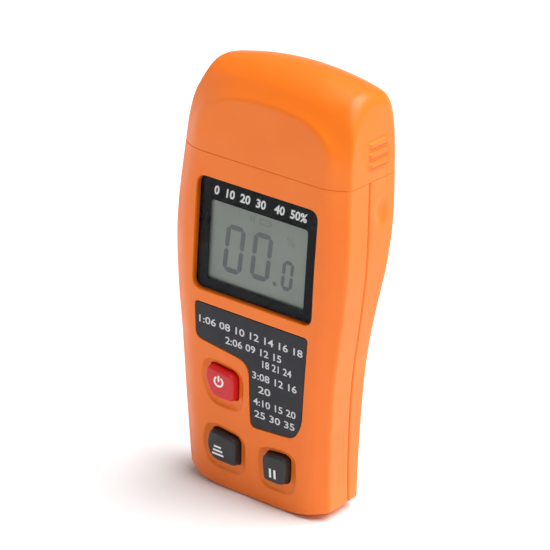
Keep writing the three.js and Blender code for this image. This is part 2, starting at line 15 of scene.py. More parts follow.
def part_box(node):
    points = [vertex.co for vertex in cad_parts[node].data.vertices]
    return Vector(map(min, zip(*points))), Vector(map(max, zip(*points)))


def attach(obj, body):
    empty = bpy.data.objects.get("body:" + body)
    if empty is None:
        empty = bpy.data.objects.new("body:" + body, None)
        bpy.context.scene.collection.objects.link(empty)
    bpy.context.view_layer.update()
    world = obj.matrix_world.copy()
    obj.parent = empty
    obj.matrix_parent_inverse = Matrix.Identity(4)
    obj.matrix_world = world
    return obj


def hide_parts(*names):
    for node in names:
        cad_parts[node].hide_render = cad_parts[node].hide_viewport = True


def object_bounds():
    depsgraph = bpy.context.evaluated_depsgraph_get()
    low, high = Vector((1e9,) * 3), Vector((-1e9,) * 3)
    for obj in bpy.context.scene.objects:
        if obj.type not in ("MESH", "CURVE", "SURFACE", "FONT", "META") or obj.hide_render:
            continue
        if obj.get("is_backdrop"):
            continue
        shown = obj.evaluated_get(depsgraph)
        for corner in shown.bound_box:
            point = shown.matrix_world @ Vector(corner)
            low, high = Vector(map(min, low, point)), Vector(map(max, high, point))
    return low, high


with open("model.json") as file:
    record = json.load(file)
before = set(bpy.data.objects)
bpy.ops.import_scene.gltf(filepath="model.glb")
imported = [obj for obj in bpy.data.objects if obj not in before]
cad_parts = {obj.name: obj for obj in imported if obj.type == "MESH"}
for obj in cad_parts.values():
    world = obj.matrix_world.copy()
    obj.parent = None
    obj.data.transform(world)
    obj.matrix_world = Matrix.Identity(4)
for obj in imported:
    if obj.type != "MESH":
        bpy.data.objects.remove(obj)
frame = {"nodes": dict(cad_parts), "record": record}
cad_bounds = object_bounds()
scene = bpy.context.scene
MM = 0.001

FRONT_Y = -13.8
FRAME_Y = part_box("front_casing")[0].y / MM - FRONT_Y

# ---------------------------------------------------------------- camera
AZIMUTH, ELEVATION, ROLL = math.radians(37.0), math.radians(23.93), math.radians(2.03)
DISTANCE = 0.84
target = Vector((0, FRAME_Y * MM, (cad_bounds[0].z + cad_bounds[1].z) / 2))
flat_share = math.cos(ELEVATION)
back = Vector((math.sin(AZIMUTH) * flat_share, -math.cos(AZIMUTH) * flat_share, math.sin(ELEVATION)))
level = Vector((math.cos(AZIMUTH), math.sin(AZIMUTH), 0))
upward = back.cross(level)
cam_right = level * math.cos(ROLL) + upward * math.sin(ROLL)
cam_up = upward * math.cos(ROLL) - level * math.sin(ROLL)
turn = Matrix((cam_right, cam_up, back)).transposed().to_4x4()
camera = bpy.data.objects.new("camera", bpy.data.cameras.new("camera"))
camera.matrix_world = Matrix.Translation(target + back * DISTANCE) @ turn
camera.data.sensor_width = 36
camera.data.lens = 196.8
camera.data.shift_x = -0.01145
camera.data.shift_y = 0.01155
camera.data.clip_start, camera.data.clip_end = 0.05, 20
scene.collection.objects.link(camera)
scene.camera = camera

# ---------------------------------------------------------------- dimensions
SPLIT_Z = 102
GAP = 0.3
PARTING = 0.06  # gap between case and cap
PARTING_EDGE = 0.14
CASE_TOP = SPLIT_Z - PARTING / 2
CAP_LOW = SPLIT_Z + PARTING / 2
WALL = 2.2
CAP_WALL = 2.1
FRONT_CREST = 60  # height where the front is furthest out
FRONT_BOW = 962  # twice the radius of the front's curve
FRONT_BEVEL = (5.6, 3.3)
REAR_BEVEL = (4.2, 2.6)
REAR_PATCH = 1.3  # how far into the rear bevel the rear patch reaches
SEAM_DEPTH = 12.3  # from the front to the seam between the case's halves
GROOVE_HALF, GROOVE_DEPTH = 0.5, 0.3
NECK_INSET = 2.8
NECK_TOP = 109
SHOULDER_Z = 99.8
TONGUE_INSET = 1.15  # lip of the rear half that closes the seam from inside
TONGUE_REACH = 0.8
TONGUE_ROOT = 0.25  # how far behind the seam the lip is rooted in the rear half
TONGUE_SLACK = (0.1, 0.15)  # gaps beside the lip and ahead of it
TOP_ARCH_RADIUS = 89
FOOT_FLAT = 12
FOOT_ARCH_RADIUS = 88
HAIR = 0.04  # how far the skins stay inside the CAD's
FOOT_TURN = 4.4  # below this height the rows of the case's skin turn downwards
ROOF_TURN = 113.6  # above this height the rows of the cap's skin turn upwards

# blending radii of the outer form
FACE_BLEND, SIDE_BLEND, REAR_BEVEL_BLEND, REAR_BLEND = 1.5, 0.65, 1.2, 1.6
CAP_BEVEL_BLEND = 6.0
RIB_HEIGHTS = (106.85, 109.6, 112.4)
RIB_HALF, RIB_RISE = 0.85, 0.7
DIMPLE_Y, DIMPLE_Z, DIMPLE_OUT = 5.2, 92.5, 0.35
DIMPLE_RADII = (1.15, 2.45, 3.65)

WINDOW = {"half": 20.8, "low": 61.6, "high": 95.0, "corner": 3.0, "low_y": -13.37, "high_y": -12.0}
VIEW = {"half": 17.0, "low": 64.6, "high": 88.4, "corner": 1.3}
PANE = 1.0
MASK = 0.2
PRINT_GAP = 0.15
PAD_REAR = -8.6
GLASS_DEPTH = 1.95  # front of the display's glass, under the face of the pane
GLASS_MARGIN = 1.0  # how far the glass reaches past the view
LCD = {"half": 18.5, "low": 62.9, "high": 90.9, "front": -8.4, "rear": -6.2}
LABEL_RECESS = 0.8
LABEL_FACE = 0.15  # the label's face under the front
DOOR = {"half": 23.4, "low": 73.4, "high": 98.2, "corner": 1.5, "thickness": 1.2, "ledge": 0.8}
SCREWS = {
    "lower_left": (-19.4, 12),
    "lower_right": (19.4, 12),
    "upper_left": (-18.5, 55),
    "upper_right": (18.5, 55),
}
SCREW_SEAT = 3.2  # depth of the counterbores
COUNTERBORE, SHAFT_HOLE = 2.78, 1.6
BOSSES = (2.7, 3.9)  # radii of the screws' bosses in front of the seam and behind it
PAD = (22.4, 60.1, 96.5, 3.5)  # thicker front round the window: half width, low, high, corner

KEYS = ("power", "mode", "hold")
KEY_CLEARANCE = 0.28
KEY_RADIUS = 0.9
BUTTON_RISE = 1.6
BUTTON_FLANGE = 1.0
DISH_DEPTH = 1.0
DISH_DROOP = 0.8
DISH_MARGIN = 2.8
DISH_PROFILE = [(DISH_MARGIN, 0), (2.6, 0.02), (2.42, 0.1), (2.26, 0.24), (2.08, 0.42)]
DISH_PROFILE += [(1.88, 0.58), (1.6, 0.72), (1.3, 0.84), (1.0, 0.93), (0.66, 0.99)]

# corners as (x, z, how much of each side the corner's curve takes)
OUTLINES = {
    "power": [(-12.6, 30.1, 2.2), (-4.85, 30.1, 1.4), (-4.6, 38.7, 2.4), (-14.3, 39.7, 1.8), (-15, 35.9, 1.5)],
    "mode": [(-13.6, 9.2, 2.8), (-4.7, 9.2, 1.2), (-4.3, 18.0, 2.2), (-14.0, 19.2, 2.6), (-15.0, 13.9, 1.5)],
    "hold": [(5.3, 8.9, 1.4), (12.9, 8.9, 2.6), (13.5, 13.5, 1.5), (13.6, 18.4, 2.6), (5.0, 17.6, 2.4)],
    "label": [
        (15.6, 25.2, 2.6),
        (18.2, 30.5, 2.5),
        (19.8, 57.5, 1.2),
        (-19.7, 57.5, 1.2),
        (-19.2, 46.6, 2.2),
        (-10.4, 45.4, 1),
        (-0.2, 44.0, 4.5),
        (0.2, 24.0, 2.2),
    ],
}


def rectangle(half, low, high, corner):
    return [(-half, low, corner), (half, low, corner), (half, high, corner), (-half, high, corner)]


for name, opening in (("window", WINDOW), ("view", VIEW), ("door", DOOR)):
    OUTLINES[name] = rectangle(opening["half"], opening["low"], opening["high"], opening["corner"])


# ---------------------------------------------------------------- profiles
def through(points):
    """A smooth curve through (x, y) points."""
    xs, ys = (np.array(c, float) for c in zip(*points))
    last = len(xs) - 1
    at = np.arange(last + 1)
    after, before = np.minimum(at + 1, last), np.maximum(at - 1, 0)
    slopes = (ys[after] - ys[before]) / (xs[after] - xs[before])

    def curve(x):
        x = np.asarray(x, float)
        i = np.clip(np.searchsorted(xs, x, side="left") - 1, 0, last - 1)
        run, rise = xs[i + 1] - xs[i], ys[i + 1] - ys[i]
        t = np.clip((x - xs[i]) / run, 0, 1)
        a, b = slopes[i] * run - rise, rise - slopes[i + 1] * run
        return ys[i] + rise * t + t * (1 - t) * (a * (1 - t) + b * t)

    return curve


half_width = through(
    [(-6, 25.0), (20, 25.7), (44, 27.0), (62, 28.9), (79, 29.9), (100, 28.8), (116, 27.5), (140, 22.8)]
)
rear_edge = through(
    [(-6, 6.7), (20, 5.7), (46, 5.2), (60, 5.8), (76, 9.0), (92, 11.7), (116, 12.4), (140, 13.2)]
)
ROOF_FRONT = [(-26, 110), (-10.1, 120.2), (-6, 125.3), (-2, 128.1)]
ROOF_REAR = [(2, 129.15), (6, 128.8), (10, 127.8), (14, 126.2), (20, 123.2)]
roof_line = through(ROOF_FRONT + ROOF_REAR)


def front_y(z):
    return FRONT_Y + (z - FRONT_CREST) ** 2 / FRONT_BOW


def smax(a, b, k):
    """The larger of two values, blended where they differ by less than k."""
    h = np.maximum(k - np.abs(a - b), 0) / k
    return np.maximum(a, b) + h * h * k / 4


def ramp(x, low, high):
    t = np.clip((x - low) / (high - low), 0, 1)
    return t * t * (3 - 2 * t)


# ---------------------------------------------------------------- outer form as a function, 0 on the skin
def section(z, inset):
    """Half width, front and rear of the meter at a height, moved inwards."""
    return half_width(z) - inset, front_y(z) + inset, rear_edge(z) + REAR_BEVEL[1] - inset


def sides(x, y, z, inset):
    """Distances outside the front face, front bevel, side wall, rear bevel and rear face."""
    ax = np.abs(x)
    side, front, rear = section(z, inset)
    fx, fy = FRONT_BEVEL
    rx, ry = REAR_BEVEL
    bevel = ((ax - side + fx) * fy - (y - front) * fx) / math.hypot(fx, fy)
    rear_bevel = ((ax - side + rx) * ry + (y - rear) * rx) / math.hypot(rx, ry)
    return front - y, bevel, ax - side, rear_bevel, y - rear


def case_form(x, y, z, inset=HAIR):
    face, bevel, side, rear_bevel, rear = sides(x, y, z, inset)
    arch = np.maximum(x * x - FOOT_FLAT**2, 0) / (2 * FOOT_ARCH_RADIUS)
    form = smax(face, bevel, FACE_BLEND)
    form = smax(form, side, SIDE_BLEND)
    form = smax(smax(form, rear_bevel, REAR_BEVEL_BLEND), rear, REAR_BLEND)
    return smax(form, arch + inset - z, 0.5 + 0.5 * ramp(y, -3, 4))


def cap_form(x, y, z, inset=HAIR):
    face, bevel, side, rear_bevel, rear = sides(x, y, z, inset)
    step = 0.05
    slope = (roof_line(y + step) - roof_line(y - step)) / (2 * step)
    roof = z - roof_line(y) + inset + 0.08 + x * x / (2 * TOP_ARCH_RADIUS)
    roof = roof / np.sqrt(1 + slope**2 + (x / TOP_ARCH_RADIUS) ** 2)
    form = smax(bevel, roof, CAP_BEVEL_BLEND)
    form = smax(face, form, FACE_BLEND - 0.75 * ramp(z, 102.5, 108))
    form = smax(form, side, SIDE_BLEND + 2.35 * ramp(z, 114, 123))
    upper = ramp(z, 114, 124)
    return smax(smax(form, rear_bevel, REAR_BEVEL_BLEND + 1.8 * upper), rear, REAR_BLEND + 1.4 * upper)


def softened(form, past):
    """The form with a rounded edge, which starts where past is -PARTING_EDGE and ends where it is 0."""
    rounding = np.clip(past / PARTING_EDGE + 1, 0, 1)
    return form + PARTING_EDGE * (1 - np.sqrt(1 - rounding**2))


def case_skin(x, y, z):
    """The case with its seam groove, its softened top edge and the thumb dimples on its sides."""
    s = (y - front_y(z) - SEAM_DEPTH) / GROOVE_HALF
    groove = GROOVE_DEPTH * np.clip(1 - s * s, 0, 1) ** 1.5 * ramp(z, 0.8, 2.6)
    form = case_form(x, y, z) + groove * (np.abs(x) > half_width(z) - 3)
    form = softened(form, z - CASE_TOP)
    across = np.abs(x) - half_width(DIMPLE_Z) - DIMPLE_OUT
    rx, ry, rz = DIMPLE_RADII
    dimple = np.sqrt((across / rx) ** 2 + ((y - DIMPLE_Y) / ry) ** 2 + ((z - DIMPLE_Z) / rz) ** 2)
    return smax(form, (1 - dimple) * rx, 0.5)


def cap_skin(x, y, z):
    """The cap with its softened lower edge and the grip ribs on its sides."""
    form = softened(cap_form(x, y, z), CAP_LOW - z)
    along = ramp(y, -0.25, 0.25) * (1 - ramp(y, 8.15, 8.6)) * (np.abs(x) > half_width(z) - 3)
    for rib in RIB_HEIGHTS:
        away = np.abs(z - rib)
        form = form - RIB_RISE * (1 - np.clip(away / RIB_HALF, 0, 1) ** 4) ** 1.2 * along
        form = form + 0.15 * np.exp(-(((away - 1.1) / 0.25) ** 2)) * along
    return form


# ---------------------------------------------------------------- skins met by rays from inside
u = np.linspace(-1, 1, 45)
FRONT_COLUMNS = 1.25 * u - 0.25 * u**3  # closer together towards the sides
BEVEL_STEPS = np.linspace(0, 1, 13)[1:]
REAR_STEPS = np.linspace(0, 1, 6)[1:]
FLANK_START = 14.0  # from the front to where the flank's even steps begin
# Steps down the sides: distances from the front, and then shares of the rest.
near_seam = [3.6, 3.9, 4.3, 4.9, 5.8, 6.9, 8.0, 9.1, 10.1, 10.9, 11.45]
CASE_STEPS = (
    np.concatenate([near_seam, SEAM_DEPTH + np.linspace(-0.55, 0.55, 12), [13.3, FLANK_START]]),
    np.linspace(0, 1, 27)[1:],
)
CAP_STEPS = (
    np.concatenate([np.arange(3.6, 11.6, 0.8), np.linspace(11.7, 12.9, 9), [13.3, FLANK_START]]),
    np.concatenate([np.linspace(0, 0.5, 8)[1:], np.linspace(0.5, 1, 12)[1:]]),
)
PLAIN_STEPS = (np.array([5.0, 8.0, 11.0, FLANK_START]), np.linspace(0, 1, 5)[1:])


def ring_targets(z, inset, steps):
    """Points on the corners-and-edges section at each height, in order round the meter, and for
    each column how far sideways, from -1 to 1, its rays begin."""
    seam_steps, side_steps = steps
    z = z[:, None]
    side, front, rear = section(z, inset)
    face, edge = side - FRONT_BEVEL[0], side - REAR_PATCH
    g = FRONT_COLUMNS[None, :]
    share = REAR_STEPS * REAR_PATCH / REAR_BEVEL[0]
    flank_start = front + FLANK_START
    right = [
        (face + BEVEL_STEPS * FRONT_BEVEL[0], front + BEVEL_STEPS * FRONT_BEVEL[1]),
        (side + 0 * seam_steps, front + seam_steps),
        (side + 0 * side_steps, flank_start * (1 - side_steps) + (rear - REAR_BEVEL[1]) * side_steps),
        (side - share * REAR_BEVEL[0], rear - REAR_BEVEL[1] * (1 - share)),
    ]
    rx, ry = (np.concatenate([r[i] for r in right], axis=1) for i in (0, 1))
    rear_x = -g * edge
    rear_y = rear - np.maximum(np.abs(rear_x) - side + REAR_BEVEL[0], 0) * REAR_BEVEL[1] / REAR_BEVEL[0]
    xs = [g * face, rx[:, :-1], rear_x, -rx[:, -2::-1]]
    ys = [front + 0 * g, ry[:, :-1], rear_y, ry[:, -2::-1]]
    flank = np.ones(rx.shape[1] - 1)
    sideways = np.concatenate([g[0], flank, -g[0], -flank])
    return np.concatenate(xs, axis=1), np.concatenate(ys, axis=1), sideways


def strike(origin, direction, far, form):
    """Where rays from inside a form meet its skin, by halving."""
    low, high = np.zeros(origin.shape[:-1]), far + np.zeros(origin.shape[:-1])
    for _ in range(34):
        middle = (low + high) / 2
        p = origin + direction * middle[..., None]
        inside = form(p[..., 0], p[..., 1], p[..., 2]) < 0
        low, high = np.where(inside, middle, low), np.where(inside, high, middle)
    return origin + direction * low[..., None]


def rows_of(form, heights, inset=HAIR, foot=0, roof=0, steps=CASE_STEPS):
    """Rows of points on a form: level at the given heights, then turning down to the foot or up to
    the roof in the given number of rows, from the first or the last height."""
    heights = np.asarray(heights, float)
    z = np.concatenate([np.full(foot, heights[0]), heights, np.full(roof, heights[-1])])
    tilt = [-np.linspace(90, 0, foot, endpoint=False), 0 * heights, np.linspace(0, 90, roof + 1)[1:]]
    tilt = np.radians(np.concatenate(tilt))[:, None]
    tx, ty, sideways = ring_targets(z, inset, steps)
    middle = (front_y(z) + rear_edge(z) + REAR_BEVEL[1]) / 2
    ox = sideways[None, :] * (half_width(z) - inset - 12)[:, None]
    origin = np.stack([ox, middle[:, None] + 0 * ox, z[:, None] + 0 * ox], axis=-1)
    dx, dy = tx - ox, ty - origin[..., 1]
    length = np.hypot(dx, dy)
    flat = np.cos(tilt) / length
    direction = np.stack([dx * flat, dy * flat, np.sin(tilt) + 0 * dx], axis=-1)
    straight = np.abs(np.degrees(tilt[:, 0])) > 89.9
    direction[straight] = np.array([0, 0, 1]) * np.sign(tilt[straight, 0])[:, None, None]
    far = np.where(np.abs(tilt) > 1e-6, 40.0, length + 2.5)
    return strike(origin, direction, far, form)


def triangles(points, edges=None):
    """Points and faces over one closed loop of (x, z) points, or over the loops that edges give."""
    n = len(points)
    edges = edges or [(i, (i + 1) % n) for i in range(n)]
    found, _, faces, sources, _, _ = delaunay_2d_cdt([Vector(p) for p in points], edges, [], 1, 1e-7)
    return found, [tuple(f) for f in faces], sources


def walls(n):
    """Faces between a loop of n points and the same loop further back, which follows it."""
    return [(i, i + n, (i + 1) % n + n, (i + 1) % n) for i in range(n)]


def turned_over(faces):
    return [tuple(reversed(f)) for f in faces]


class Surface:
    """Collects vertices and faces, in millimetres, and turns them into one closed mesh."""

    def __init__(self):
        self.vertices, self.faces, self.count = [], [], 0

    def add(self, points, faces):
        self.vertices.append(np.asarray(points, float).reshape(-1, 3))
        self.faces += [[self.count + i for i in f] for f in faces]
        self.count += len(self.vertices[-1])

    def grid(self, rows, skipped=()):
        """Quads between rows of points, each row closed, without the skipped (rows, columns) ranges."""
        count, columns = rows.shape[:2]
        faces = []
        for r in range(count - 1):
            low, high = r * columns, (r + 1) * columns
            for c in range(columns):
                if not any(r0 <= r < r1 and c0 <= c < c1 for r0, r1, c0, c1 in skipped):
                    d = (c + 1) % columns
                    faces.append((low + c, low + d, high + d, high + c))
        self.add(rows.reshape(-1, 3), faces)

    def lid(self, ring, up):
        ring = np.asarray(ring)
        n = len(ring)
        centre = ring.mean(axis=0)
        order = (lambda i: (i, (i + 1) % n, n)) if up else (lambda i: ((i + 1) % n, i, n))
        self.add(np.vstack([ring, centre]), [order(i) for i in range(n)])

    def block(self, near, far, faces):
        """A closed block between two copies of a loop, with the faces that fill the loop."""
        n = len(near)
        rear = [tuple(i + n for i in f) for f in turned_over(faces)]
        self.add(np.vstack([near, far]), faces + rear + walls(n))

    def mesh(self, name):
        data = bpy.data.meshes.new(name)
        data.from_pydata(np.concatenate(self.vertices).tolist(), [], self.faces)
        bm = bmesh.new()
        bm.from_mesh(data)
        bmesh.ops.remove_doubles(bm, verts=bm.verts, dist=2e-4)
        bmesh.ops.dissolve_degenerate(bm, edges=bm.edges, dist=1e-5)
        bmesh.ops.recalc_face_normals(bm, faces=bm.faces)
        bm.to_mesh(data)
        bm.free()
        thing = bpy.data.objects.new(name, data)
        scene.collection.objects.link(thing)
        return thing


# ---------------------------------------------------------------- outlines and patches over (x, z)
def upright(points, y):
    """(x, z) points put at the given y."""
    return np.stack([points[:, 0], y + 0 * points[:, 0], points[:, 1]], axis=1)


def grown(points, margin):
    """An outline's corners moved outwards, with their curves kept concentric."""
    n = len(points)
    normals = []
    for i, (x, z, _) in enumerate(points):
        nx, nz, _ = points[(i + 1) % n]
        length = math.hypot(nx - x, nz - z)
        normals.append(((nz - z) / length, (x - nx) / length))
    out = []
    for i, (x, z, r) in enumerate(points):
        (ax, az), (bx, bz) = normals[i - 1], normals[i]
        share = margin / (1 + ax * bx + az * bz)
        stretch = share * (ax * bz - az * bx)
        out.append((x + (ax + bx) * share, z + (az + bz) * share, max(r + stretch, 0.1)))
    return out


def outline(points, margin=0.0, corner_steps=8, spacing=1.6, shift=(0, 0)):
    """(x, z) points round an outline with curved corners, moved outwards by the margin."""
    points = grown(points, margin)
    n = len(points)
    out = []
    for i, (x, z, r) in enumerate(points):
        ends = []
        for px, pz, _ in (points[i - 1], points[(i + 1) % n]):
            share = min(r / math.hypot(px - x, pz - z), 0.48)
            ends.append((x + (px - x) * share, z + (pz - z) * share))
        (sx, sz), (ex, ez) = ends
        for k in range(corner_steps + 1):
            t = k / corner_steps
            a, b, c = (1 - t) ** 2, 2 * t * (1 - t), t * t
            out.append((a * sx + b * x + c * ex, a * sz + b * z + c * ez))
    full = []
    for i, p in enumerate(out):
        q = out[(i + 1) % len(out)]
        steps = max(1, math.ceil(math.dist(p, q) / spacing))
        full += [(p[0] + (q[0] - p[0]) * k / steps, p[1] + (q[1] - p[1]) * k / steps) for k in range(steps)]
    return np.array(full) + np.array(shift)


def circle(x, z, radius, count=40):
    a = np.linspace(0, 2 * math.pi, count, endpoint=False)
    return np.stack([x + radius * np.cos(a), z + radius * np.sin(a)], axis=1)


def within(points, polygon):
    x, z = points[:, 0][:, None], points[:, 1][:, None]
    px, pz = polygon[:, 0][None], polygon[:, 1][None]
    qx, qz = np.roll(px, -1), np.roll(pz, -1)
    crossing = (pz > z) != (qz > z)
    at = px + (z - pz) * (qx - px) / np.where(qz == pz, 1e-9, qz - pz)
    return (crossing & (x < at)).sum(axis=1) % 2 == 1


def outside(points, polygons):
    for polygon in polygons:
        points = points[~within(points, polygon)]
    return points


def nearest(points, others):
    """Distance from each point to the nearest of the others."""
    out = np.full(len(points), 1e9)
    for start in range(0, len(others), 400):
        part = others[start : start + 400]
        d = np.hypot(points[:, 0][:, None] - part[:, 0], points[:, 1][:, None] - part[:, 1])
        out = np.minimum(out, d.min(axis=1))
    return out


def quarter(radius, steps=5):
    """(inset, drop) pairs of a rounded edge, from the wall inwards."""
    angles = np.radians(np.linspace(0, 90, steps + 1))
    return [(radius * (1 - math.cos(a)), radius * (1 - math.sin(a))) for a in angles]


def lip(margin, radius, steps=5):
    """(margin, depth) pairs that round the edge of a recess whose wall is at the given margin."""
    angles = np.radians(np.linspace(0, 90, steps + 1))
    return [(margin + radius * (1 - math.sin(a)), radius * (1 - math.cos(a))) for a in angles]


def rounded_rings(points, radius, steps, start=0.0, spacing=1.6):
    """Rings for a plate whose outer edge is rounded, the first at start inside the outline."""
    edge = quarter(radius, steps)
    return [(outline(points, -start - inset, spacing=spacing), drop) for inset, drop in edge]


def dotted(low_x, high_x, low_z, high_z, spacing):
    """Points in staggered rows."""
    xs = np.arange(low_x, high_x, spacing)
    zs = np.arange(low_z, high_z, spacing * 0.87)
    rows = [np.stack([xs + (i % 2) * spacing / 2, 0 * xs + z], axis=1) for i, z in enumerate(zs)]
    return np.concatenate(rows)


def patch(boundary, loops, free, surface_y, clear):
    """Triangles over a boundary of 3-D points, through loops of (x, z) points whose y is given, and
    free points, whose y comes from the surface and which keep clear of the others."""
    plane = [boundary[:, [0, 2]]] + [p for p, _ in loops]
    heights = [boundary[:, 1]] + [y for _, y in loops]
    fixed = np.concatenate(plane)
    free = free[within(free, plane[0])]
    free = free[nearest(free, fixed) > clear]
    points = np.concatenate([fixed, free])
    y = np.concatenate(heights + [surface_y(free[:, 0], free[:, 1])])
    edges, start = [], 0
    for ring in plane:
        n = len(ring)
        edges += [(start + i, start + (i + 1) % n) for i in range(n)]
        start += n
    found, faces, sources = triangles(points, edges)
    out = np.zeros((len(found), 3))
    for i, (p, source) in enumerate(zip(found, sources)):
        if source:
            out[i] = points[source[0]][0], y[source[0]], points[source[0]][1]
        else:
            out[i] = p[0], surface_y(np.array([p[0]]), np.array([p[1]]))[0], p[1]
    return out, faces


def on_case(x, z, sign=-1):
    """Y of the case's front, or with sign 1 its rear, at points (x, z)."""
    x, z = np.asarray(x, float), np.asarray(z, float)
    origin = np.stack([x, 0 * x - 1.0, z], axis=-1)
    direction = np.zeros_like(origin)
    direction[..., 1] = sign
    return strike(origin, direction, 25.0, case_skin)[..., 1]


def sunk(points, depth, sign=-1):
    """A loop for a patch, at a depth under the case's front, or with sign 1 its rear."""
    return points, on_case(points[:, 0], points[:, 1], sign) - sign * depth


def window_y(z, depth):
    rise, run = WINDOW["high_y"] - WINDOW["low_y"], WINDOW["high"] - WINDOW["low"]
    return WINDOW["low_y"] + rise * (z - WINDOW["low"]) / run + depth / math.cos(math.atan2(rise, run))


# Surfaces for plates and prints: functions of x and z.
def level_at(y):
    return lambda x, z: y + 0 * x


def window_at(depth):
    return lambda x, z: window_y(z, depth) + 0 * x


def front_at(depth):
    """The case's front face without its recesses."""
    return lambda x, z: front_y(z) + HAIR + depth + 0 * x


# ---------------------------------------------------------------- booleans and finishing
def evaluated_mesh(thing):
    return bpy.data.meshes.new_from_object(thing.evaluated_get(bpy.context.evaluated_depsgraph_get()))


def combine(thing, operation, *others):
    """Joins, cuts or intersects a solid with others, which are used up."""
    for other in others:
        modifier = thing.modifiers.new("cut", "BOOLEAN")
        modifier.operation = operation
        modifier.object = other
        modifier.solver = "MANIFOLD"
        result = evaluated_mesh(thing)
        thing.modifiers.clear()
        thing.data = result
        bpy.data.objects.remove(other)


def finish(thing, name, slot, replaced=(), body="case", angle=38, material=None):
    """Names a piece made in millimetres, shades it, puts it into the frame and lets it ride."""
    thing.name = name
    thing.data.name = name
    thing.data.transform(Matrix.Translation((0, FRAME_Y * MM, 0)) @ Matrix.Diagonal((MM, MM, MM, 1)))
    bm = bmesh.new()
    bm.from_mesh(thing.data)
    for f in bm.faces:
        f.smooth = True
    limit = math.radians(angle)
    for e in bm.edges:
        e.smooth = len(e.link_faces) == 2 and e.calc_face_angle(0) < limit
    bm.to_mesh(thing.data)
    bm.free()
    thing.data.materials.clear()
    thing.data.materials.append(material or materials[slot])
    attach(thing, body)
    if replaced:
        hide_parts(*replaced)


def prism(points, y0, y1):
    """A closed block over an outline of (x, z) points."""
    points = np.asarray(points, float)
    s = Surface()
    s.block(upright(points, float(y0)), upright(points, float(y1)), triangles(points)[1])
    return s.mesh("prism")


def plate(rings, top, bottom, free=None):
    """A closed plate. rings are (points, depth under the top surface), from the outside in."""
    outer, inner = rings[0][0], rings[-1][0]
    boundary = upright(outer, top(outer[:, 0], outer[:, 1]) + rings[0][1])
    loops = [(p, top(p[:, 0], p[:, 1]) + d) for p, d in rings[1:]]
    if free is None:
        low, high = inner.min(axis=0) + 0.43, inner.max(axis=0)
        free = dotted(low[0], high[0], low[1], high[1], 1.6)
        free = free[within(free, inner)]
    points, faces = patch(boundary, loops, free, top, clear=0.4)
    under, low = points.copy(), boundary.copy()
    for lower in (under, low):
        lower[:, 1] = bottom(lower[:, 0], lower[:, 2])
    s = Surface()
    s.add(points, faces)
    s.add(under, turned_over(faces))
    s.add(np.vstack([boundary, low]), walls(len(outer)))
    return s.mesh("plate")


# ---------------------------------------------------------------- materials
def srgb(r, g, b):
    def linear(c):
        c = c / 255
        return c / 12.92 if c <= 0.04045 else ((c + 0.055) / 1.055) ** 2.4

    return (linear(r), linear(g), linear(b), 1)


class Shader:
    """A material built from nodes over object coordinates in millimetres."""

    def __init__(self, name):
        self.material = bpy.data.materials.new(name)
        self.material.use_nodes = True
        self.tree = self.material.node_tree
        self.tree.nodes.clear()
        self.bsdf = self.node("BsdfPrincipled")
        self.output = self.node("OutputMaterial", {0: self.bsdf.outputs[0]})
        self.place = self.relief = None

    def node(self, kind, inputs=None, **settings):
        """A new node, with each input given as a value or as another node's output."""
        node = self.tree.nodes.new("ShaderNode" + kind)
        for key, value in settings.items():
            setattr(node, key, value)
        for key, value in (inputs or {}).items():
            self.feed(node.inputs[key], value)
        return node

    def feed(self, socket, value):
        if isinstance(value, bpy.types.NodeSocket):
            self.tree.links.new(value, socket)
        else:
            socket.default_value = value

    def set(self, **values):
        for name, value in values.items():
            self.feed(self.bsdf.inputs[name.replace("_", " ")], value)

    def noise(self, size, detail=3.0, roughness=0.5, stretch=None):
        """Noise with features of about that size in millimetres."""
        if not self.place:
            coordinates = self.node("TexCoord").outputs["Object"]
            inputs = {0: coordinates, "Scale": 1 / MM}
            self.place = self.node("VectorMath", inputs, operation="SCALE").outputs[0]
        place = self.place
        if stretch:
            place = self.node("VectorMath", {0: place, 1: stretch}, operation="MULTIPLY").outputs[0]
        inputs = {"Scale": 1 / size, "Detail": detail, "Roughness": roughness, "Vector": place}
        return self.node("TexNoise", inputs).outputs["Fac"]

    def span(self, factor, low, high, to_low=0.0, to_high=1.0):
        inputs = {"Value": factor, "From Min": low, "From Max": high, "To Min": to_low, "To Max": to_high}
        return self.node("MapRange", inputs).outputs[0]

    def mix(self, factor, a, b):
        node = self.node("Mix", {"Factor": factor}, data_type="RGBA")
        for name, value in (("A", a), ("B", b)):
            self.feed(next(i for i in node.inputs if i.name == name and i.type == "RGBA"), value)
        return next(o for o in node.outputs if o.type == "RGBA")

    def bump(self, height, depth, strength=1.0):
        """Bump whose full height is the given depth in millimetres, on top of any before it."""
        inputs = {"Strength": strength, "Distance": depth * MM, "Height": height}
        if self.relief:
            inputs["Normal"] = self.relief
        self.relief = self.node("Bump", inputs).outputs[0]
        self.set(Normal=self.relief)


materials = {}


def moulded(name, base, lighter, rough, grain=0.35, depth=0.006, wear=0.25, **sockets):
    """Moulded plastic: slow colour drift, a fine eroded texture and a painted highlight that lightens sharp edges.
    """
    s = Shader(name)
    base, lighter = srgb(*base), srgb(*lighter)
    drift = s.span(s.noise(18, 2), 0.35, 0.65, 0.0, 0.5)
    # Painted highlight: sharp edges, found by their pointiness, are lightened towards a paler tint, more in some
    # patches than others.
    edges = s.span(s.node("NewGeometry").outputs["Pointiness"], 0.52, 0.6)
    uneven = s.span(s.noise(3.5, 4), 0.35, 0.7, 0.3 * wear, wear)
    painted_edge_highlight = s.node("Math", {0: edges, 1: uneven}, operation="MULTIPLY").outputs[0]
    highlight_tint = tuple(min(1, c * 1.15 + 0.03) for c in lighter[:3]) + (1,)
    colour = s.mix(painted_edge_highlight, s.mix(drift, base, lighter), highlight_tint)
    s.set(Base_Color=colour, Roughness=s.span(s.noise(7, 4), 0.3, 0.7, rough - 0.05, rough + 0.06), **sockets)
    s.bump(s.noise(grain, 2, 0.6), depth)
    s.bump(s.noise(9, 2), 0.03, 0.5)
    materials[name] = s.material


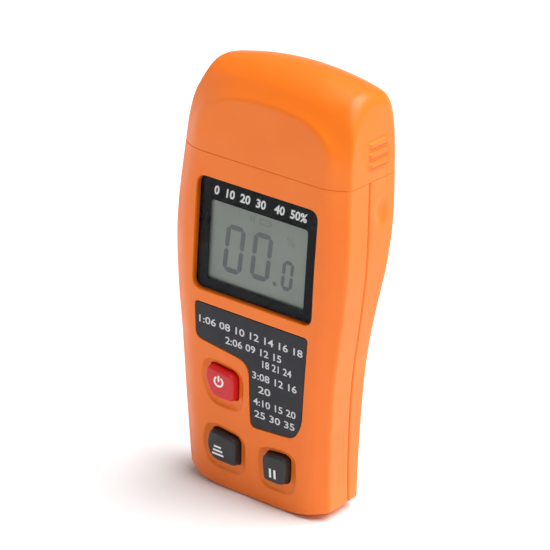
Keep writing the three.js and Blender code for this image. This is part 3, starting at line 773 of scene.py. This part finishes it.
def metal(name, base, rough, stretch):
    """Turned or drawn metal: dull patches, and fine marks along the direction that stretch gives."""
    s = Shader(name)
    base = srgb(*base)
    dull = tuple(c * 0.75 for c in base[:3]) + (1,)
    roughness = s.span(s.noise(0.6, 5, stretch=stretch), 0.3, 0.7, rough - 0.06, rough + 0.1)
    s.set(Metallic=1.0, Base_Color=s.mix(s.span(s.noise(2.5, 4), 0.4, 0.75), base, dull), Roughness=roughness)
    s.bump(s.noise(0.3, 3, stretch=stretch), 0.004)
    materials[name] = s.material


def display_glass(name):
    """The display's grey-green sheet, slightly uneven in tone and gloss."""
    s = Shader(name)
    s.set(
        Base_Color=s.mix(s.span(s.noise(14, 2), 0.35, 0.65), srgb(138, 141, 136), srgb(146, 149, 143)),
        Roughness=s.span(s.noise(4, 3), 0.3, 0.7, 0.32, 0.4),
    )
    s.bump(s.noise(0.2, 1), 0.001)
    materials[name] = s.material


def clear_sheet(name):
    """Clear acrylic: lets light and sight straight through, with a shine that grows at a slant."""
    s = Shader(name)
    fine = s.node("TexNoise", {"Scale": 160}).outputs["Fac"]
    s.set(Base_Color=(0.02, 0.02, 0.025, 1), Roughness=s.span(fine, 0.0, 1.0, 0.05, 0.13))
    facing = s.node("LayerWeight").outputs["Facing"]
    slant = s.node("Math", {0: facing, 1: 3}, operation="POWER").outputs[0]
    clear = s.node("BsdfTransparent", {"Color": (0.96, 0.975, 0.97, 1)}).outputs[0]
    inputs = {0: s.span(slant, 0.0, 1.0, 0.012, 0.5), 1: clear, 2: s.bsdf.outputs[0]}
    s.feed(s.output.inputs[0], s.node("MixShader", inputs).outputs[0])
    materials[name] = s.material


# Where given, the edge highlight strength is how much painted highlight a plastic's sharp edges get.
PLASTICS = {
    "case_plastic": ((243, 115, 15), (247, 124, 22), 0.4, {"IOR": 1.45}),
    "label_film": (
        (38, 38, 44),
        (43, 43, 49),
        0.55,
        {"grain": 0.25, "depth": 0.004, "wear": 0.15, "Specular_IOR_Level": 0.3},
    ),
    "black_print": (
        (12, 12, 17),
        (15, 15, 21),
        0.3,
        {"depth": 0.001, "wear": 0.0, "Specular_IOR_Level": 0.12},
    ),
    "grey_plastic": ((190, 190, 184), (200, 200, 194), 0.5, {}),
    "conductive_rubber": ((105, 106, 110), (120, 120, 124), 0.75, {}),
    "circuit_board": ((24, 92, 52), (30, 108, 62), 0.38, {"wear": 0.1}),
    "black_plastic": ((30, 30, 33), (38, 38, 41), 0.48, {}),
    "red_button": ((204, 18, 26), (212, 24, 32), 0.42, {"depth": 0.004, "wear": 0.12}),
    "black_button": ((34, 34, 38), (41, 41, 45), 0.5, {"depth": 0.004, "wear": 0.15}),
    "cell_wrap": ((44, 116, 78), (50, 126, 86), 0.25, {"depth": 0.002, "wear": 0.1}),
    "pale_ink": ((205, 205, 210), (214, 214, 218), 0.55, {"grain": 0.2, "depth": 0.002, "wear": 0.0}),
    "white_ink": ((238, 236, 238), (244, 243, 244), 0.5, {"grain": 0.2, "depth": 0.002, "wear": 0.0}),
    "segment_ink": ((100, 101, 107), (106, 107, 112), 0.4, {"depth": 0.001, "wear": 0.0}),
    "faint_ink": ((123, 126, 122), (127, 130, 126), 0.4, {"depth": 0.001, "wear": 0.0}),
}
for name, (base, lighter, rough, rest) in PLASTICS.items():
    moulded(name, base, lighter, rough, **rest)
metal("steel", (200, 202, 206), 0.24, (1, 1, 0.08))
metal("brass", (214, 176, 96), 0.3, (1, 1, 4))
display_glass("lcd_glass")
clear_sheet("clear_window")

# ---------------------------------------------------------------- case
TOP_EDGE = [0.45, 0.3, 0.18, 0.12, 0.07, 0.035, 0.01, 0.0]  # rows of the case's rounded top edge
case_heights = np.concatenate(
    [
        np.arange(FOOT_TURN, 88, 1.2),
        np.arange(88, 97, 0.4),
        np.arange(97, CASE_TOP - 0.6, 1.1),
        CASE_TOP - np.array(TOP_EDGE),
    ]
)
FOOT_ROWS = 44
BAR_FOOT = 24
PATCH_CLEAR = 0.32


def closed(rows, foot=0, roof=0, skipped=()):
    """A surface over rows of points, with a lid at each end that doesn't turn in to a foot or roof."""
    s = Surface()
    s.grid(rows, skipped)
    if not foot:
        s.lid(rows[0], up=False)
    if not roof:
        s.lid(rows[-1], up=True)
    return s


def bar(inset, low, high, count, foot=0, steps=CASE_STEPS):
    """A closed, plainer body of the case's section moved inwards."""
    heights = np.linspace(low, high, count)
    rows = rows_of(lambda x, y, z: case_form(x, y, z, inset), heights, inset, foot=foot, steps=steps)
    return closed(rows, foot=foot).mesh("bar")


def beside_bevel(bevel, insets):
    """(x, z) points in upright rows, at the given distances inwards from a bevel."""
    z = np.arange(FOOT_TURN + 0.6, CASE_TOP, 1.2)
    xs = [sign * (half_width(z) - bevel - inset) for inset in insets for sign in (-1, 1)]
    return np.vstack([np.stack([x, z], axis=1) for x in xs])


def front_loops():
    """The label's recess, the display window and a dish with a hole for each button."""
    loops = [sunk(outline(OUTLINES["label"], m), d) for m, d in [(0.95, 0), (0.6, 0)] + lip(0.2, 0.25)]
    loops.append(sunk(outline(OUTLINES["label"], 0.18), LABEL_RECESS))
    loops += [sunk(outline(OUTLINES["window"], m), d) for m, d in [(1.1, 0), (0.6, 0)] + lip(0.2, 0.22)]
    for name, margin in (("window", 0.18), ("view", GLASS_MARGIN + 0.22)):
        p = outline(OUTLINES[name], margin)
        loops.append((p, window_y(p[:, 1], PANE + MASK + 2 * PRINT_GAP + 0.03)))
    p = outline(OUTLINES["view"], GLASS_MARGIN + 0.2)
    loops.append((p, np.full(len(p), -2.0)))
    for key in KEYS:
        for margin, share in DISH_PROFILE:
            droop = -DISH_DROOP * ramp(margin, 0.6, 2.7)
            loops.append(sunk(outline(OUTLINES[key], margin, shift=(0, droop)), DISH_DEPTH * share))
        edge = lip(KEY_CLEARANCE + 0.02, 0.16, 4)
        loops += [sunk(outline(OUTLINES[key], m), DISH_DEPTH + d) for m, d in edge]
        loops.append(sunk(outline(OUTLINES[key], KEY_CLEARANCE), 5.0))
    return loops


def rear_loops():
    """The door's opening with its ledge, and four counterbores."""
    door, ledge, floor = OUTLINES["door"], DOOR["ledge"], DOOR["thickness"] + GAP
    rings = [(0.8, 0), (0.66, 0)] + lip(GAP, 0.25)
    rings += [(GAP - 0.02, floor), (-ledge, floor), (-ledge - 0.02, 7.0)]
    loops = [sunk(outline(door, m), d, 1) for m, d in rings]
    for x, z in SCREWS.values():
        loops += [sunk(circle(x, z, COUNTERBORE + m), d, 1) for m, d in [(0.7, 0), (0.45, 0)] + lip(0.0, 0.3)]
        seat = rear_edge(z) + REAR_BEVEL[1] - SCREW_SEAT
        hole = ((COUNTERBORE - 0.02, seat), (SHAFT_HOLE + 0.02, seat), (SHAFT_HOLE, front_y(z) + 3.5))
        for radius, y in hole:
            p = circle(x, z, radius)
            loops.append((p, np.full(len(p), float(y))))
    return loops


def case_solid():
    """The case's outer form, closed, with its recesses as pits in the front and rear patches."""
    rows = rows_of(case_skin, case_heights, foot=FOOT_ROWS)
    first, last = FOOT_ROWS, len(rows) - len(TOP_EDGE)
    across, half = len(FRONT_COLUMNS) - 1, rows.shape[1] // 2
    sections = [(0, across), (half, half + across)]
    s = closed(rows, foot=FOOT_ROWS, skipped=[(first, last, *section) for section in sections])
    front, rear = (rows[first : last + 1, c0 : c1 + 1] for c0, c1 in sections)

    def border(part):
        return np.concatenate([part[0], part[1:-1, -1], part[-1, ::-1], part[-2:0:-1, 0]])

    label_pit = outline(OUTLINES["label"], 0.19)

    def front_surface(x, z):
        return on_case(x, z) + LABEL_RECESS * within(np.stack([x, z], axis=1), label_pit)

    free = np.vstack([dotted(-26, 26, 4, 103, 1.5), beside_bevel(FRONT_BEVEL[0], (0.6, 1.2, 1.9, 2.7))])
    pits = [outline(OUTLINES[k], DISH_MARGIN, shift=(0, drop)) for k in KEYS for drop in (0, -DISH_DROOP)]
    free = outside(free, [outline(OUTLINES["window"], 0.19)] + pits)
    s.add(*patch(border(front), front_loops(), free, front_surface, PATCH_CLEAR))

    beside = beside_bevel(REAR_BEVEL[0], (-1.4, -0.9, -0.4, 0.1, 0.6, 1.1))
    free = np.vstack([dotted(-28, 28, 4, 103, 1.5), beside])
    free = outside(free, [outline(OUTLINES["door"], GAP)] + [circle(x, z, 2.9) for x, z in SCREWS.values()])
    points, faces = patch(border(rear), rear_loops(), free, lambda x, z: on_case(x, z, 1), PATCH_CLEAR)
    s.add(points, turned_over(faces))
    return s.mesh("case")


def before_seam(offset):
    """Everything in front of the case's seam."""
    zs = np.linspace(-10, 150, 81)
    side = np.stack([front_y(zs) + SEAM_DEPTH + offset, zs], axis=1)
    side = np.vstack([side, [[-40, 150], [-40, -10]]])
    n = len(side)
    left = np.stack([np.full(n, -40.0), side[:, 0], side[:, 1]], axis=1)
    faces = triangles(side)[1]
    right_faces = [tuple(i + n for i in f) for f in faces]
    edge_faces = [(i, (i + 1) % n, (i + 1) % n + n, i + n) for i in range(n)]
    s = Surface()
    s.add(np.vstack([left, left + np.array([80.0, 0, 0])]), turned_over(faces) + right_faces + edge_faces)
    return s.mesh("seam")


case = case_solid()
cavity = bar(WALL, 6.0, SHOULDER_Z, 40, foot=BAR_FOOT)
combine(cavity, "DIFFERENCE", prism(outline(rectangle(*PAD)), -20, PAD_REAR))
for x, z in SCREWS.values():
    seam = front_y(z) + SEAM_DEPTH
    for radius, y0, y1 in ((BOSSES[0], -20, seam - GAP), (BOSSES[1], seam + GAP, 20)):
        combine(cavity, "DIFFERENCE", prism(circle(x, z, radius, 32), y0, y1))
collar = bar(NECK_INSET, SHOULDER_Z - 4, NECK_TOP, 8)
collar_inside = bar(NECK_INSET + CAP_WALL, SHOULDER_Z - 1, NECK_TOP + 1, 8)
combine(case, "UNION", collar)
combine(case, "DIFFERENCE", cavity, collar_inside)
rear_half = case.copy()
rear_half.data = case.data.copy()
scene.collection.objects.link(rear_half)
combine(case, "INTERSECT", before_seam(-GAP / 2))
combine(rear_half, "DIFFERENCE", before_seam(GAP / 2))
combine(case, "DIFFERENCE", *[prism(outline(OUTLINES[key], KEY_CLEARANCE), -14, -6) for key in KEYS])

tongue = bar(TONGUE_INSET + TONGUE_SLACK[0], 6.0, SHOULDER_Z - 0.3, 40, foot=BAR_FOOT)
groove = bar(TONGUE_INSET, 6.0, SHOULDER_Z - 0.2, 40, foot=BAR_FOOT)
combine(tongue, "DIFFERENCE", bar(WALL + 0.07, 6.0, SHOULDER_Z + 1, 40, foot=BAR_FOOT))
combine(tongue, "INTERSECT", before_seam(TONGUE_ROOT))
combine(tongue, "DIFFERENCE", before_seam(-TONGUE_REACH))
combine(groove, "DIFFERENCE", before_seam(-TONGUE_REACH - TONGUE_SLACK[1]))
combine(rear_half, "UNION", tongue)
combine(case, "DIFFERENCE", groove)
finish(case, "front_shell", "case_plastic", ["front_casing"])
finish(rear_half, "rear_shell", "case_plastic", ["rear_casing"])

# ---------------------------------------------------------------- cap
CAP_ROOF, HOLLOW_ROOF = 84, 36
cap_heights = np.concatenate(
    [
        CAP_LOW + np.array([0.0, 0.01, 0.035, 0.07, 0.12, 0.18, 0.3, 0.5]),
        np.arange(103.2, 105.4, 0.7),
        np.arange(105.6, ROOF_TURN, 0.16),
    ]
)
cap = closed(rows_of(cap_skin, cap_heights, roof=CAP_ROOF, steps=CAP_STEPS), roof=CAP_ROOF).mesh("cap")
hollow_rows = rows_of(
    lambda x, y, z: cap_form(x, y, z, CAP_WALL),
    np.linspace(SPLIT_Z - 2, 113, 8),
    CAP_WALL,
    roof=HOLLOW_ROOF,
    steps=PLAIN_STEPS,
)
combine(cap, "DIFFERENCE", closed(hollow_rows, roof=HOLLOW_ROOF).mesh("hollow"))
finish(cap, "cap_shell", "case_plastic", ["protective_cap"], body="cap")


# ---------------------------------------------------------------- battery door
def door_top(x, z):
    """The door's outer face, with a thumb notch, measured inwards as a negative depth."""
    notch = 1 - (x / 5.2) ** 2 - ((z - 94) / 2.2) ** 2
    return 1.0 * ramp(notch, -0.15, 0.9) ** 0.8 - on_case(x, z, 1)


def door_under(x, z):
    return DOOR["thickness"] - on_case(x, z, 1)


door_outline = OUTLINES["door"]
rings = rounded_rings(door_outline, 0.4, 5, spacing=1.0)
rings += [(outline(door_outline, -0.9, spacing=1.0), 0), (outline(door_outline, -1.6), 0)]
free = outside(dotted(-22, 22, 74, 98, 1.4), [outline(rectangle(7.2, 90.8, 97.2, 1))])
door = plate(rings, door_top, door_under, np.vstack([free, dotted(-7, 7, 91, 97, 0.45)]))
for v in door.data.vertices:
    v.co.y = -v.co.y
door.data.flip_normals()
rim = prism(outline(door_outline, -DOOR["ledge"] - 0.4), 0, 30)
combine(rim, "DIFFERENCE", prism(outline(door_outline, -DOOR["ledge"] - 1.4), -5, 35))
combine(rim, "INTERSECT", bar(DOOR["thickness"] - 0.1, 60, 110, 30, steps=PLAIN_STEPS))
combine(rim, "DIFFERENCE", bar(WALL, 58, 112, 30, steps=PLAIN_STEPS))
combine(door, "UNION", rim)
finish(door, "door_shell", "case_plastic", ["battery_door"], body="door")

# ---------------------------------------------------------------- label, window and display
label_outline, window_outline = OUTLINES["label"], OUTLINES["window"]
rings = rounded_rings(label_outline, 0.12, 3) + [(outline(label_outline, -0.5), 0)]
finish(plate(rings, front_at(LABEL_FACE), front_at(0.6)), "label_face", "label_film", ["label_plate"])
rings = rounded_rings(window_outline, 0.2, 4) + [(outline(window_outline, -0.8), 0)]
finish(plate(rings, window_at(0.0), window_at(PANE)), "window_pane", "clear_window", ["display_pane"])

outer, inner = outline(window_outline, -0.1), outline(OUTLINES["view"], -0.1)
n, m = len(outer), len(inner)
edges = [(i, (i + 1) % n) for i in range(n)] + [(n + i, n + (i + 1) % m) for i in range(m)]
found, faces, _ = triangles(np.vstack([outer, inner]), edges)
found = np.array([tuple(p) for p in found])
centres = np.array([found[list(f)].mean(axis=0) for f in faces])
faces = [f for f, hole in zip(faces, within(centres, inner)) if not hole]
depths = (PANE + PRINT_GAP, PANE + PRINT_GAP + MASK)
s = Surface()
for depth, layer in zip(depths, (faces, turned_over(faces))):
    s.add(upright(found, window_y(found[:, 1], depth)), layer)
for loop, wall in ((outer, walls(n)), (inner, turned_over(walls(m)))):
    s.add(np.vstack([upright(loop, window_y(loop[:, 1], depth)) for depth in depths]), wall)
finish(s.mesh("border"), "window_border", "black_print", ["display_mask"])

rings = []
for e, d in quarter(0.2, 3):
    rings.append((outline(rectangle(LCD["half"] - e, LCD["low"] + e, LCD["high"] - e, 0.3)), d))
panel = plate(rings, level_at(LCD["front"]), level_at(LCD["rear"]))
glass = rectangle(VIEW["half"] + GLASS_MARGIN, VIEW["low"] - GLASS_MARGIN, VIEW["high"] + GLASS_MARGIN, 1.6)
rings = rounded_rings(glass, 0.12, 3) + [(outline(glass, -0.6), 0)]
combine(panel, "UNION", plate(rings, window_at(GLASS_DEPTH), level_at(LCD["front"] + 0.6)))
finish(panel, "display_panel", "lcd_glass", ["lcd_panel"])

# ---------------------------------------------------------------- prints
INK_LIFT, INK_SINK = 0.02, 0.03  # how far ink stands out of its surface, and reaches into it


def print_shapes(name, polygons, surface, slot, ink, body="case"):
    """Thin ink: closed chips over polygons of (x, z) points, standing a hair out of a surface."""
    s = Surface()
    for points in polygons:
        points = np.asarray(points, float)
        ahead = np.roll(points, -1, axis=0)
        if np.sum(points[:, 0] * ahead[:, 1] - ahead[:, 0] * points[:, 1]) < 0:
            points = points[::-1]
        y = surface(points[:, 0], points[:, 1])
        s.block(upright(points, y - INK_LIFT), upright(points, y + INK_SINK), triangles(points)[1])
    finish(s.mesh(name), name, slot, body=body, material=materials[ink])


def lettering(name, lines, surface, slot, ink, bold=0.012):
    """Printed figures. Each line is (text, left, right, baseline, height of a figure, slant)."""
    s = Surface()
    for text, left, right, baseline, height, slant in lines:
        curve = bpy.data.curves.new(name, "FONT")
        curve.body = text
        curve.offset = bold
        curve.resolution_u = 3
        thing = bpy.data.objects.new(name, curve)
        scene.collection.objects.link(thing)
        flat = evaluated_mesh(thing)
        bpy.data.objects.remove(thing)
        bm = bmesh.new()
        bm.from_mesh(flat)
        bmesh.ops.remove_doubles(bm, verts=bm.verts, dist=1e-5)
        bm.verts.index_update()
        co = np.array([v.co[:2] for v in bm.verts])
        x0, x1 = co[:, 0].min(), co[:, 0].max()
        z = baseline + co[:, 1] * height / 0.7
        x = left + (co[:, 0] - x0) * (right - left) / (x1 - x0) + slant * (z - baseline)
        points, y, n = np.stack([x, z], axis=1), surface(x, z), len(co)
        faces = []
        for f in bm.faces:
            loop = [v.index for v in f.verts]
            if f.normal.z < 0:
                loop.reverse()
            faces += [tuple(loop), tuple(i + n for i in reversed(loop))]
        for e in bm.edges:
            if len(e.link_faces) == 1:
                a, b = (v.index for v in e.verts)
                faces.append((a, b, b + n, a + n))
        bm.free()
        s.add(np.vstack([upright(points, y - INK_LIFT), upright(points, y + INK_SINK)]), faces)
    finish(s.mesh(name), name, slot, material=materials[ink])


SEGMENTS = {
    "a": (0, 2, 1, 2),
    "b": (1, 1, 1, 2),
    "c": (1, 0, 1, 1),
    "d": (0, 0, 1, 0),
    "e": (0, 0, 0, 1),
    "f": (0, 1, 0, 2),
}


def stroke(x0, z0, x1, z1, width, trim, chamfer=0.45):
    """A bar between two points with pointed ends."""
    dx, dz = x1 - x0, z1 - z0
    length = math.hypot(dx, dz)
    ux, uz = dx / length, dz / length
    h = width / 2
    t0, t1, c = trim, length - trim, chamfer * width
    spots = [(t0, 0), (t0 + c, -h), (t1 - c, -h), (t1, 0), (t1 - c, h), (t0 + c, h)]
    return [(x0 + ux * a - uz * b, z0 + uz * a + ux * b) for a, b in spots]


def segment_zero(x, z, width, height, weight, slant, gap):
    """A zero of six segments, with its lower left corner at (x, z)."""
    out = []
    for a, b, c, d in SEGMENTS.values():
        shape = stroke(a * width, b * height / 2, c * width, d * height / 2, weight, gap)
        out.append([(x + px + slant * pz, z + pz) for px, pz in shape])
    return out


def ring_shape(x, z, outer, inner, start, end, count=40):
    """Outline of an open ring, swept between two angles in degrees."""
    a = np.radians(np.linspace(start, end, count))
    wide = [(x + outer * math.cos(t), z + outer * math.sin(t)) for t in a]
    narrow = [(x + inner * math.cos(t), z + inner * math.sin(t)) for t in reversed(a)]
    return wide + narrow


def bar_shape(x, z, width, height, slant=0.0):
    half, tall = width / 2, height / 2
    corners = ((-half, -tall), (half, -tall), (half, tall), (-half, tall))
    return [(x + a + slant * b, z + b) for a, b in corners]


scale_marks = [("0  10  20  30", -16.0, 2.0, 90.15, 2.45, 0.1), ("40  50%", 5.0, 16.2, 90.25, 2.45, 0.1)]
lettering("window_figures", scale_marks, window_at(PANE + PRINT_GAP), "black_print", "white_ink", bold=0.03)
label_rows = [
    ("1:06 08 10 12 14 16 18", -18.2, 18.4, 51.45),
    ("2:06 09 12 15", -8.7, 11.1, 47.5),
    ("18 21 24", 4.5, 14.7, 44.1),
    ("3:08 12 16", 0.95, 16.6, 39.8),
    ("20", 3.1, 7.4, 35.8),
    ("4:10 15 20", 1.3, 16.3, 31.65),
    ("25 30 35", 1.7, 15.9, 27.75),
]
LABEL_FIGURE = 2.15  # height of the label's figures
label_rows = [row + (LABEL_FIGURE, 0) for row in label_rows]
lettering("label_figures", label_rows, front_at(LABEL_FACE), "label_film", "pale_ink")

digits = segment_zero(-11.6, 68.8, 5.2, 12.9, 1.5, slant=0.07, gap=0.12)
digits += segment_zero(-2.0, 69.5, 5.2, 12.6, 1.5, slant=0.07, gap=0.12)
digits += segment_zero(8.65, 69.0, 2.8, 7.7, 1.1, slant=0.06, gap=0.1)
digits.append(bar_shape(6.1, 69.3, 1.15, 1.15))
print_shapes("display_digits", digits, window_at(GLASS_DEPTH), "lcd_glass", "segment_ink")
pause = [bar_shape(-3.4, 86.0, 0.6, 1.8), bar_shape(-2.3, 86.0, 0.6, 1.8)]
battery = [bar_shape(1.6, 86.75, 3.8, 0.35), bar_shape(1.6, 85.25, 3.8, 0.35)]
battery += [bar_shape(-0.1, 86.0, 0.4, 1.05), bar_shape(3.3, 86.0, 0.4, 1.05), bar_shape(3.8, 86.0, 0.5, 0.7)]
percent = [ring_shape(9.9, 83.6, 0.6, 0.3, 0, 359), ring_shape(11.6, 82.2, 0.6, 0.3, 0, 359)]
percent.append(bar_shape(10.75, 82.9, 0.35, 2.3, slant=0.6))
print_shapes("display_marks", pause + battery + percent, window_at(GLASS_DEPTH), "lcd_glass", "faint_ink")

# ---------------------------------------------------------------- buttons
KEY_SLOTS = {"power": "red_button", "mode": "black_button", "hold": "black_button"}
KEY_MARKS = {
    "power": [ring_shape(-9.75, 35.6, 1.75, 1.15, 122, 418), bar_shape(-9.75, 36.5, 0.6, 1.85)],
    "mode": [bar_shape(-10.75, 11.6 + 1.25 * i, 4.2 - 0.8 * i, 0.6) for i in range(3)],
    "hold": [bar_shape(8.2, 12.2, 0.75, 2.9), bar_shape(9.8, 12.2, 0.75, 2.9)],
}


def key_face(points):
    """A button's slightly crowned face."""
    cx, cz = points.mean(axis=0)
    level = front_at(0.22 - BUTTON_RISE)

    def top(x, z):
        return level(x, z) - 0.25 * (1 - np.clip(((x - cx) ** 2 + (z - cz) ** 2) / 60, 0, 1))

    return top


for key in KEYS:
    points, slot, body = OUTLINES[key], KEY_SLOTS[key], key + "_key"
    top = key_face(outline(points))
    heights = [p[1] for p in points]
    middle_z = (min(heights) + max(heights)) / 2
    under = level_at(front_y(middle_z) + WALL + GAP + BUTTON_FLANGE)
    rings = [(outline(points, 0.0, spacing=0.9), 2.2)]
    rings += rounded_rings(points, KEY_RADIUS, 7, start=0.08, spacing=0.9)
    rings.append((outline(points, -1.2, spacing=0.9), 0))
    button = plate(rings, top, under)
    combine(button, "UNION", plate([(outline(points, 0.9), 0)], front_at(WALL + GAP), under))
    finish(button, body + "_cap", slot, [key + "_button"], body=body)
    print_shapes(key + "_mark", KEY_MARKS[key], top, slot, "white_ink", body)

# ---------------------------------------------------------------- pins, screws and cells
PIN = {"x": 14, "y": 2, "radius": 0.95, "low": 98, "high": 121.6, "point": 5}
THREAD_PITCH, THREAD_DEPTH = 0.2, 0.13
BORE = PIN["radius"] + 0.06
SLEEVE = {"radius": 4.2, "low": 110.3, "high": 112.8}
NUT = {"radius": 3.3, "low": 113.1, "high": 115.7}
SCREW = {"head": 2.4, "shaft": 1.25, "turns": 32, "slot_half": 1.6, "slot_thin": 0.32}
CELL = {"radius": 5.1, "half": 22.25, "nub": 0.9}
CELLS = {"lower": (4.1, 79.8, 1), "upper": (5.6, 90.4, -1)}
SPRING_TURNS, SPRING_STEPS, WIRE = 3, 56, 0.22


def turned(profile, place, count=48):
    """A solid of revolution over (radius, height) pairs. place puts (a, b, height) into the meter."""
    angles = np.linspace(0, 2 * math.pi, count, endpoint=False)
    s = Surface()
    s.grid(np.array([[place(r * math.cos(t), r * math.sin(t), h) for t in angles] for r, h in profile]))
    return s.mesh("turned")


def rounded(radius, low, high, edge, steps):
    """Profile of a cylinder whose two rims are rounded."""
    rim = [(radius - inset, low + rise) for inset, rise in lip(0, edge, steps)]
    return [(0, low)] + rim + [(r, low + high - h) for r, h in reversed(rim)] + [(0, high)]


for side, word in ((-1, "left"), (1, "right")):

    def standing(a, b, h, x=side * PIN["x"]):
        return (x + a, PIN["y"] + b, h)

    radius, low, high = PIN["radius"], PIN["low"], PIN["high"]
    cone = high - PIN["point"]
    pitches = range(int((cone - low) / THREAD_PITCH))
    profile = [(0, low)] + [(radius - THREAD_DEPTH * (i % 2), low + THREAD_PITCH * i) for i in pitches]
    profile += [(radius, cone), (0.9, cone + 0.3), (0.16, high - 0.12), (0.07, high), (0, high)]
    finish(turned(profile, standing, 32), "pin_" + word, "steel", ["measuring_pin_" + word], angle=25)

    radius, low, high = SLEEVE["radius"], SLEEVE["low"], SLEEVE["high"]
    profile = [(BORE, low), (radius, low), (radius, high - 0.6), (radius - 0.1, high - 0.3)]
    profile += [(radius - 0.3, high - 0.1), (radius - 0.6, high), (1.7, high), (1.5, high - 0.2)]
    profile += [(BORE, high - 0.4), (BORE, low)]
    finish(turned(profile, standing, 64), "sleeve_" + word, "black_plastic", ["pin_sleeve_" + word])

    radius, low, high = NUT["radius"], NUT["low"], NUT["high"]
    nut = turned([(0, low), (radius, low), (radius, high), (0, high)], standing, 6)
    combine(nut, "INTERSECT", turned(rounded(radius - 0.02, low, high, 0.45, 5), standing, 64))
    profile = [(0, 112), (BORE + 1.2, 112), (BORE, low + 0.3), (BORE, high - 0.3)]
    profile += [(BORE + 0.9, 116.3), (0, 116.3)]
    combine(nut, "DIFFERENCE", turned(profile, standing, 40))
    finish(nut, "nut_" + word, "brass", ["pin_nut_" + word], angle=25)

for word, (x, z) in SCREWS.items():

    def backward(a, b, h, x=x, z=z):
        return (x + a, h, z + b)

    seat = float(rear_edge(z)) + REAR_BEVEL[1] - SCREW_SEAT + GAP
    head, shaft = SCREW["head"], SCREW["shaft"]
    angles = np.radians(np.linspace(0, 90, 7))
    profile = [(head * math.sin(a) ** 0.6, seat + 0.7 + 0.9 * math.cos(a)) for a in angles]
    profile += [(head, seat), (shaft, seat)]
    profile += [(shaft - 0.22 * (i % 2), seat - 0.3 * i) for i in range(1, SCREW["turns"] + 1)]
    screw = turned(profile + [(0.5, seat - 10.4), (0, seat - 11)], backward, 40)
    sizes = (SCREW["slot_half"], SCREW["slot_thin"])
    for wide, tall in (sizes, sizes[::-1]):
        corners = [(x - wide, z - tall), (x + wide, z - tall), (x + wide, z + tall), (x - wide, z + tall)]
        combine(screw, "DIFFERENCE", prism(corners, seat + 0.7, seat + 5))
    finish(screw, "screw_" + word, "steel", ["case_screw_" + word], angle=30)

for word, (y, z, positive) in CELLS.items():

    def lengthwise(a, b, h, y=y, z=z, positive=positive):
        return (positive * h, y + a, z + b)

    radius, half = CELL["radius"], CELL["half"]
    end = half - CELL["nub"]
    profile = [(0, -half), (4.3, -half), (4.6, -half), (4.95, -half + 0.15), (radius, -half + 0.45)]
    profile += [(radius, -18), (radius - 0.06, -17.9), (radius - 0.06, 12.9), (radius, 13)]
    profile += [(radius, end - 0.45), (4.95, end - 0.15), (4.6, end), (4.1, end), (3.9, end - 0.25), (0, end - 0.25)]
    finish(turned(profile, lengthwise, 64), "cell_" + word, "cell_wrap", ["battery_cell_" + word])
    profile = [(0, end - 0.35), (3.6, end - 0.35), (3.7, end - 0.1), (1.95, end)]
    profile += [(1.9, half - 0.2), (1.7, half), (0, half)]
    finish(turned(profile, lengthwise), "cell_tip_" + word, "steel", angle=30)

    t = np.linspace(0, 1, SPRING_TURNS * SPRING_STEPS + 1)
    radius, angle = 3.2 - 1.5 * t, 2 * math.pi * SPRING_TURNS * t
    line = np.stack(
        [-positive * (23.55 - 0.75 * t), y + radius * np.cos(angle), z + radius * np.sin(angle)], axis=1
    )
    along = np.gradient(line, axis=0)
    along /= np.linalg.norm(along, axis=1)[:, None]
    outward = np.stack([0 * t, np.cos(angle), np.sin(angle)], axis=1)
    outward -= along * (along * outward).sum(axis=1)[:, None]
    outward /= np.linalg.norm(outward, axis=1)[:, None]
    spin = np.linspace(0, 2 * math.pi, 12, endpoint=False)[:, None]
    coil = outward[:, None] * np.cos(spin) + np.cross(along, outward)[:, None] * np.sin(spin)
    spring = closed(line[:, None] + WIRE * coil).mesh("spring")
    finish(spring, "spring_" + word, "steel", ["battery_spring_" + word])

# ---------------------------------------------------------------- carried-over CAD nodes
slots = {p["node"]: p["material_slot"] for p in frame["record"]["subparts"]}
for node, thing in frame["nodes"].items():
    for place in thing.material_slots:
        place.material = materials[slots[node]]

# ---------------------------------------------------------------- floor and light
FLOOR_HALF, FLOOR_Z = 6, -0.0002  # metres
finish_of_floor = Shader("floor")
tone = finish_of_floor.mix(finish_of_floor.noise(400, 2), (0.9, 0.9, 0.9, 1), (0.93, 0.93, 0.93, 1))
finish_of_floor.set(Base_Color=tone, Roughness=0.7)
plane = bpy.data.meshes.new("floor")
corners = [(x * FLOOR_HALF, y * FLOOR_HALF, FLOOR_Z) for x, y in ((-1, -1), (1, -1), (1, 1), (-1, 1))]
plane.from_pydata(corners, [], [(0, 1, 2, 3)])
plane.materials.append(finish_of_floor.material)
floor = bpy.data.objects.new("floor", plane)
scene.collection.objects.link(floor)
floor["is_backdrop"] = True

world = bpy.data.worlds.new("studio")
scene.world = world
world.use_nodes = True
world.node_tree.nodes["Background"].inputs["Color"].default_value = (1, 1, 1, 1)
world.node_tree.nodes["Background"].inputs["Strength"].default_value = 0.25
MIDDLE = Vector((0, 0, 0.065))


def lamp(name, kind, place, energy, **settings):
    """A light that points at the middle of the meter."""
    light = bpy.data.lights.new(name, kind)
    light.energy = energy
    for key, value in settings.items():
        setattr(light, key, value)
    thing = bpy.data.objects.new(name, light)
    thing.location = place
    thing.rotation_mode = "QUATERNION"
    thing.rotation_quaternion = (MIDDLE - Vector(place)).to_track_quat("-Z", "Y")
    scene.collection.objects.link(thing)


lamp("key", "SUN", (0.4, 0.22, 1.0), 4.7, angle=math.radians(60))
lamp("side_fill", "AREA", (0.9, 0.1, 0.35), 0.4, size=0.6)
lamp("left_rim", "AREA", (-0.9, -0.35, 0.3), 0.9, size=0.7)
scene.view_settings.view_transform = "Standard"

sizes = {"cad": cad_bounds, "visual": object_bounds()}
